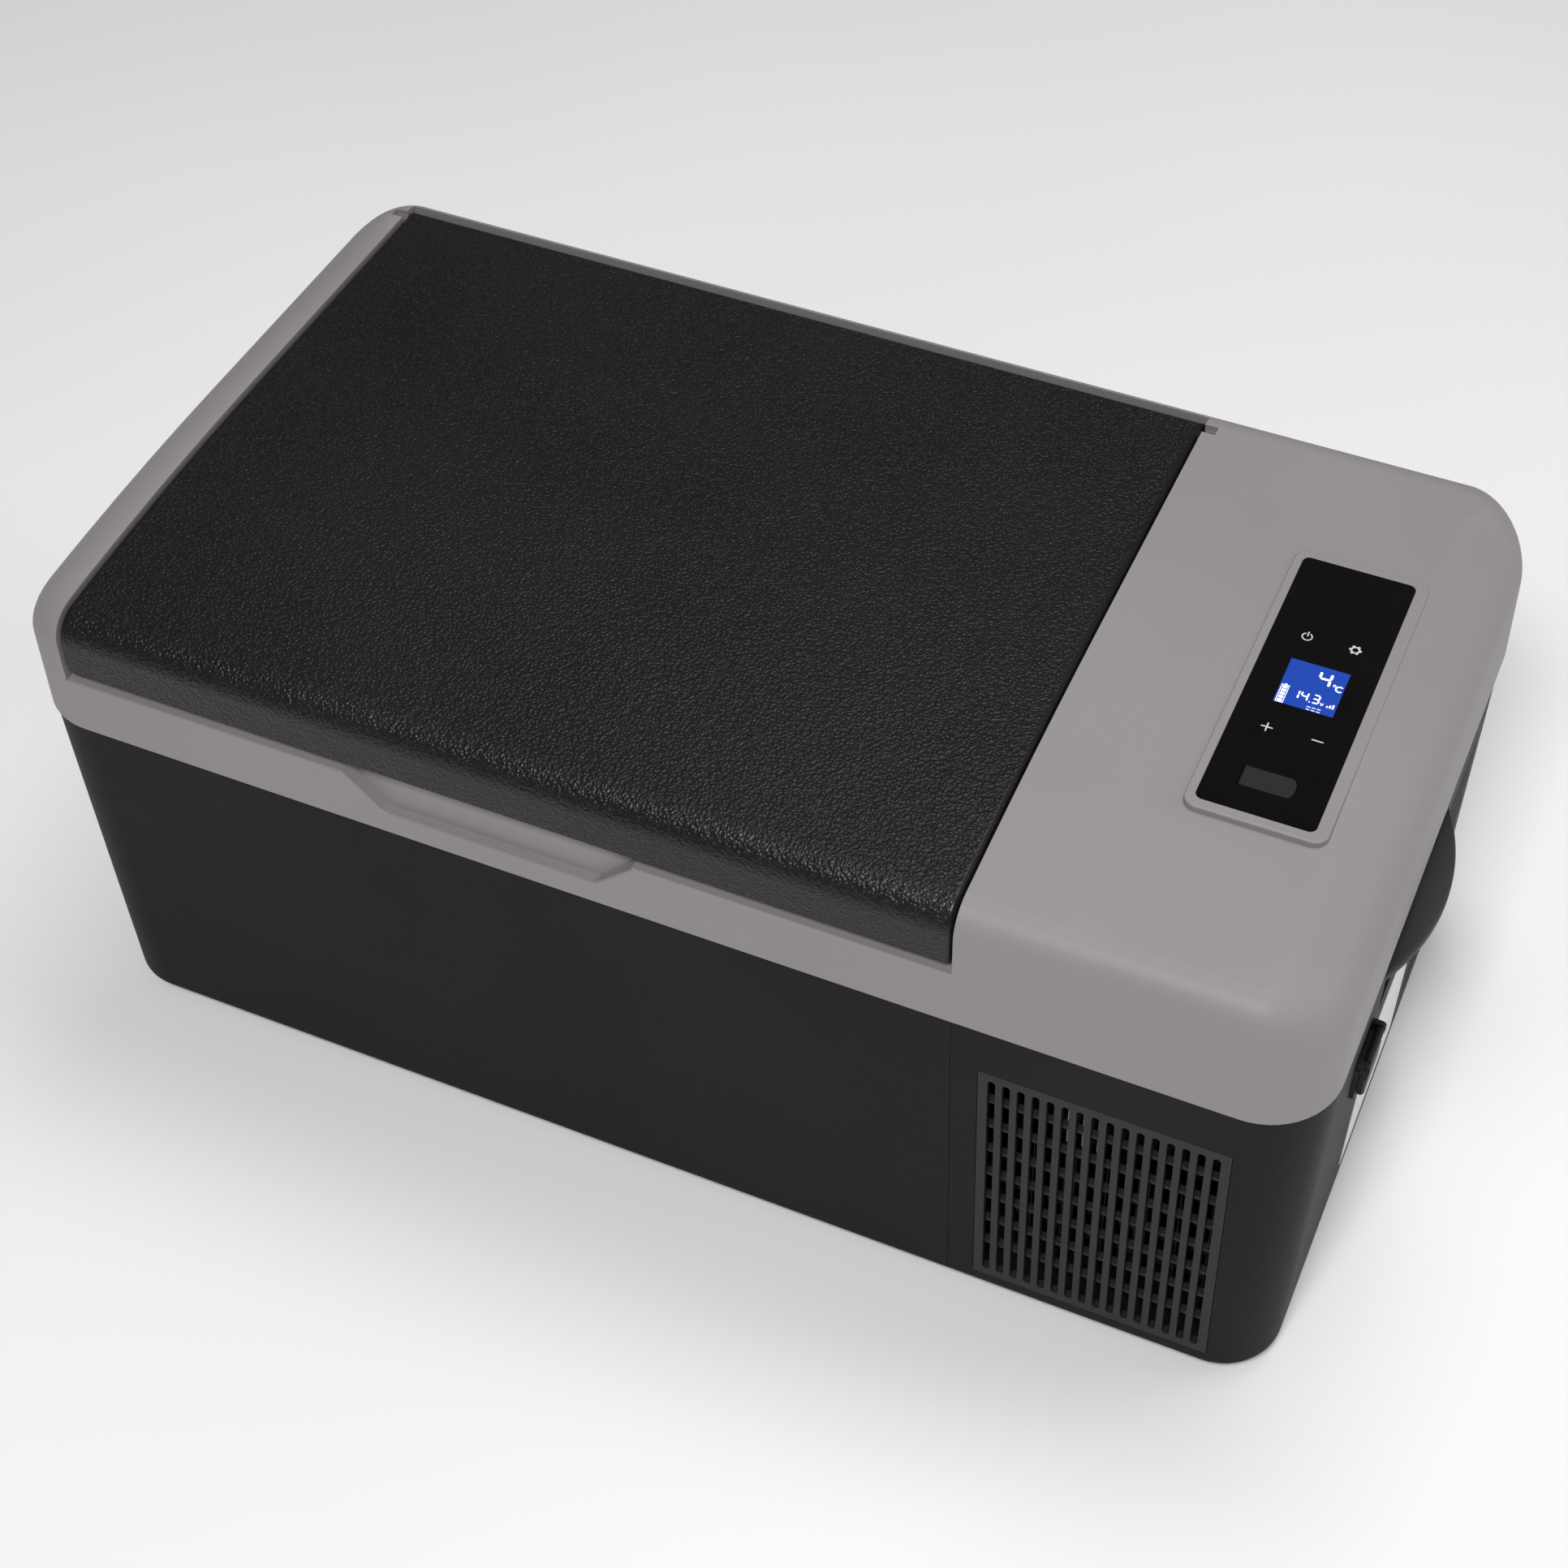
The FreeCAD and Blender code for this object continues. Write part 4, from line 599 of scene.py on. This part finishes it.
# The grey ink glows at 0.12: painted glow, as printed ink gives no light of its own.
ink = printed_ink("grey_screen_ink_painted_glow", "#B4B4B2", "#D2D2D0", 0.12)
glass_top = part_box("panel_glass")[1].z
symbol_mesh = raised_marks("touch_symbols", power_key + mode_key + plus_key + minus_key,
                           glass_top - INK_T / 5, glass_top + INK_T)
symbols = new_piece("touch_symbols", symbol_mesh, ink, smooth=False)
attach(symbols, "cabinet")

# The display shows a set temperature, the supply voltage, a charge column, three rising bars
# and three pairs of dashes. All are bars of liquid crystal let through by the backlight.
SEGMENTS = {"0": "abcdef", "1": "bc", "3": "abcdg", "4": "bcfg"}


def seven_segment(digit, x, y, width, height, weight):
    """The bars of one digit from its lower left corner, each a pointed stroke with a hair gap."""
    middle, gap = y + height / 2, weight * 0.16
    right, top = x + width, y + height
    ends = {
        "a": (x, top, right, top), "g": (x, middle, right, middle), "d": (x, y, right, y),
        "f": (x, top, x, middle), "e": (x, middle, x, y),
        "b": (right, top, right, middle), "c": (right, middle, right, y),
    }
    bars = []
    for name in SEGMENTS[digit]:
        a, b = np.array(ends[name][:2]), np.array(ends[name][2:])
        step = (b - a) / np.hypot(*(b - a)) * gap
        bars.append(stroke(*(a + step), *(b - step), weight, weight / 2))
    return bars


LCD_LEFT, LCD_TOP = 217.5, 15.3                     # far left corner of the lit window, in mm
CHARGE_WIDE, CHARGE_TALL, CHARGE_LINE = 3.0, 10.2, 0.3


def set_point():
    """The large figure with its degree ring and its unit, at the far side of the window."""
    return seven_segment("4", LCD_LEFT + 13.6, LCD_TOP - 10.2, 4.4, 7.4, 1.1) + [
        ring_arc(LCD_LEFT + 20.3, LCD_TOP - 8.6, 0.38, 0.68, steps=24),
        ring_arc(LCD_LEFT + 22.7, LCD_TOP - 9.9, 1.15, 1.8, 48, 312, 30)]


def supply_voltage():
    """Three small figures, the point before the last one, and the unit as two slanted bars."""
    marks = []
    for digit, left in (("1", 6.0), ("4", 9.7), ("3", 14.4)):
        marks += seven_segment(digit, LCD_LEFT + left, LCD_TOP - 20.9, 2.5, 4.5, 0.72)
    foot, top = LCD_TOP - 21.2, LCD_TOP - 19.8
    return marks + [stroke(LCD_LEFT + 13.2, LCD_TOP - 21.0, LCD_LEFT + 13.8, LCD_TOP - 21.0, 0.6),
                    stroke(LCD_LEFT + 17.9, top, LCD_LEFT + 18.45, foot, 0.4),
                    stroke(LCD_LEFT + 19.0, top, LCD_LEFT + 18.5, foot, 0.4)]


def level_marks():
    """Three rising bars 1.15 mm apart, and three pairs of dashes 2.1 mm apart below them."""
    marks = []
    for step, rise in enumerate((1.0, 1.7, 2.4)):
        x = LCD_LEFT + 20.8 + step * 1.15
        marks += [stroke(x, LCD_TOP - 21.4, x, LCD_TOP - 21.4 + rise, 0.7)]
    for step in range(3):
        x = LCD_LEFT + 13.3 + step * 2.1
        marks += [stroke(x, LCD_TOP - 23.7, x + 1.5, LCD_TOP - 23.7, 0.35),
                  stroke(x, LCD_TOP - 25.2, x + 1.5, LCD_TOP - 25.2, 0.35)]
    return marks


def charge_column():
    """A battery outline, its terminal, and five bars 1.9 mm apart inside it."""
    left, low, line = LCD_LEFT + 0.8, LCD_TOP - 25.6, CHARGE_LINE
    right, top, inset = left + CHARGE_WIDE, low + CHARGE_TALL, line / 2
    marks = [stroke(left, low, left, top, line), stroke(right, low, right, top, line),
             stroke(left + inset, low + inset, right - inset, low + inset, line),
             stroke(left + inset, top - inset, right - inset, top - inset, line),
             stroke(left + 1.0, top + line, right - 1.0, top + line, 2 * line)]
    for step in range(5):
        y = low + 1.25 + step * 1.9
        marks += [stroke(left + 0.5, y, right - 0.5, y, 1.45)]
    return marks


lit = printed_ink("lit_segments", "#E6EBFA", "#F6F8FF", 0.55)
cell_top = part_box("lcd_module")[1].z
readout_marks = set_point() + supply_voltage() + level_marks() + charge_column()
readout_mesh = raised_marks("display_readout", readout_marks,
                            cell_top - INK_T / 5, cell_top + INK_T)
readout = new_piece("display_readout", readout_mesh, lit, smooth=False)
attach(readout, "cabinet")


# The flap over the charging port is a separate soft-touch polypropylene moulding. The three
# bars of its mark end 0.01 mm under its flat top, inside it, so they don't show.
MARK_X, MARK_Y, MARK_APART, MARK_LINE = 229.3, -53.6, 2.2, 0.5

soft_touch = moulded_plastic("soft_touch_pp", "#1E1E1E", "#272727", 0.7 * MM, 0.03 * MM, (0.55, 0.7),
                             shade=0.03)
finish_nodes(soft_touch, "usb_cover")
port_marks = [stroke(MARK_X - 4.3, MARK_Y, MARK_X + 4.3, MARK_Y, MARK_LINE),
              stroke(MARK_X - 1.3, MARK_Y + MARK_APART, MARK_X + 2.1, MARK_Y + MARK_APART, MARK_LINE),
              stroke(MARK_X - 1.3, MARK_Y - MARK_APART, MARK_X + 2.1, MARK_Y - MARK_APART, MARK_LINE)]
flap_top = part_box("usb_cover")[1].z
mark_mesh = raised_marks("port_mark", port_marks, flap_top - INK_T, flap_top - INK_T / 5)
flap_mark = new_piece("port_mark", mark_mesh, soft_touch, smooth=False)
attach(flap_mark, "usb_flap")


# ---- bare board and sockets ---------------------------------------------------------
# Green solder mask over the copper tracks of a glass-epoxy board, and sockets, a cap and a
# terminal cover moulded in black nylon.
def solder_mask():
    """Green mask, lighter over the tracks: crests of a bent wave, 0.314 / scale = 5 mm apart."""
    material, tree, shader, place = start_material("solder_mask", {"Roughness": 0.35, "IOR": 1.5})
    tracks = add_node(tree, "TexWave", {"Scale": 1 / (16 * MM), "Distortion": 2.0, "Detail": 1.0},
                      {"Vector": place})
    colour = blend_colours(tree, [(0.45, "#0F3D22"), (0.55, "#17562F")], tracks.outputs["Fac"])
    tree.links.new(colour, shader.inputs["Base Color"])
    return material


finish_nodes(solder_mask(), "control_board")
black_nylon = moulded_plastic("black_nylon", "#121212", "#1B1B1B", 0.6 * MM, 0.03 * MM, (0.42, 0.56),
                              shade=0.02)
finish_nodes(black_nylon, "usb_socket", "dc_socket", "dc_socket_cap", "terminal_cover")


# ---- end walls ----------------------------------------------------------------------
# Half-moon grips in a slightly lighter ABS, vent grilles let flush into the walls, and a blank
# rating label of printed vinyl film on the right end wall.
grip_abs = moulded_plastic("grip_abs", "#343433", "#3C3C3B", 0.8 * MM, 0.03 * MM, (0.5, 0.64))
finish_nodes(grip_abs, "grip_right", "grip_left")
grille_abs = moulded_plastic("grille_abs", "#212120", "#282827", 0.8 * MM, 0.02 * MM, (0.5, 0.64))
finish_nodes(grille_abs, "grille_front", "grille_back", "grille_end")


def label_vinyl():
    """White vinyl film: satin, with a faint 40 mm drift and dust in it."""
    material, tree, shader, place = start_material("white_vinyl", {"Roughness": 0.42, "IOR": 1.5})
    drift = add_node(tree, "TexNoise", {"Scale": 1 / (40 * MM), "Detail": 5.0}, {"Vector": place})
    colour = blend_colours(tree, [(0.3, "#DADBDC"), (0.7, "#E8E9EA")], drift.outputs["Fac"])
    tree.links.new(colour, shader.inputs["Base Color"])
    relief = add_node(tree, "Bump", {"Strength": 0.3, "Distance": 0.05 * MM},
                      {"Height": drift.outputs["Fac"]})
    tree.links.new(relief.outputs[0], shader.inputs["Normal"])
    return material


finish_nodes(label_vinyl(), "rating_label")


# ---- compressor bay -----------------------------------------------------------------
# Behind the grille stand a finned coil in a near-black coat, a black fan and the motor driver with
# its bare aluminium fins. The coil's near-black colour is partly its coat and partly painted shade
# of the bay behind the grille. The compressor is a black enamelled steel can on rubber mounts.
coil_coat_and_bay_shade = moulded_plastic("coil_coat_and_painted_shade", "#0B0B0B", "#161616", 1.5 * MM, 0.05 * MM, (0.35, 0.5),
                             shade=0.02)
finish_nodes(coil_coat_and_bay_shade, "condenser_tube", "condenser_fins")
fan_nylon = moulded_plastic("fan_nylon", "#0C0C0C", "#131313", 0.8 * MM, 0.03 * MM, (0.4, 0.55), shade=0.03)
finish_nodes(fan_nylon, "fan_shroud", "fan_rotor")
enamel = moulded_plastic("black_enamel_coat", "#080808", "#0E0E0E", 3.0 * MM, 0.04 * MM, (0.12, 0.24),
                         shade=0.03)
finish_nodes(enamel, "compressor_can")


def bare_metal(name, dark, light, rough, scale):
    """Bare metal that has dulled in patches of that scale, rougher where it is darker."""
    material, tree, shader, place = start_material(name, {"Metallic": 1.0})
    patch = add_node(tree, "TexNoise", {"Scale": 1 / scale, "Detail": 4.0}, {"Vector": place})
    colour = blend_colours(tree, [(0.3, dark), (0.7, light)], patch.outputs["Fac"])
    tree.links.new(colour, shader.inputs["Base Color"])
    gloss = add_node(tree, "MapRange",
                     {"From Min": 0.3, "From Max": 0.7, "To Min": rough[1], "To Max": rough[0]},
                     {"Value": patch.outputs["Fac"]})
    tree.links.new(gloss.outputs[0], shader.inputs["Roughness"])
    return material


extruded_aluminium = bare_metal("extruded_aluminium", "#A8A9AA", "#CBCCCD", (0.28, 0.45), 6 * MM)
finish_nodes(extruded_aluminium, "driver_case", "driver_heat_sink")
drawn_copper = bare_metal("drawn_copper", "#8A4B2E", "#C77B50", (0.25, 0.5), 8 * MM)
finish_nodes(drawn_copper, "evaporator_tube", "filter_drier", "suction_pipe", "discharge_pipe",
             "capillary_pipe")
WIRE_COLOURS = {"supply_wire_red": ("#8E1512", "#A81D18"), "supply_wire_black": ("#101010", "#191919"),
                "signal_wire_yellow": ("#C9A416", "#E0BC25")}
for wire, (dark, light) in WIRE_COLOURS.items():
    wire_pvc = moulded_plastic(wire + "_pvc", dark, light, 1.0 * MM, 0.01 * MM, (0.3, 0.42), shade=0.01)
    finish_nodes(wire_pvc, wire)

MOUNT_R = 9.0
MOUNT_PROFILE = [(3.0, 0.0), (3.0, 18.0), (7.2, 18.0), (8.0, 17.2), (8.0, 13.8), (7.2, 13.0),
                 (5.0, 13.0), (5.0, 10.5), (8.2, 10.5), (MOUNT_R, 9.7), (MOUNT_R, 0.8), (8.2, 0.0)]
shown_low, shown_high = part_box("compressor_mounts")
reach = MOUNT_R * MM
corners = [(x, y, shown_low.z) for x in (shown_low.x + reach, shown_high.x - reach)
           for y in (shown_low.y + reach, shown_high.y - reach)]
mount_mesh = joined_grids("rubber_mounts", turned(MOUNT_PROFILE, corners, 40), close_u=True, close_v=True)
mounts = new_piece("rubber_mounts", mount_mesh, black_rubber)
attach(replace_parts(mounts, "compressor_mounts"), "cabinet")


low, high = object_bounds()
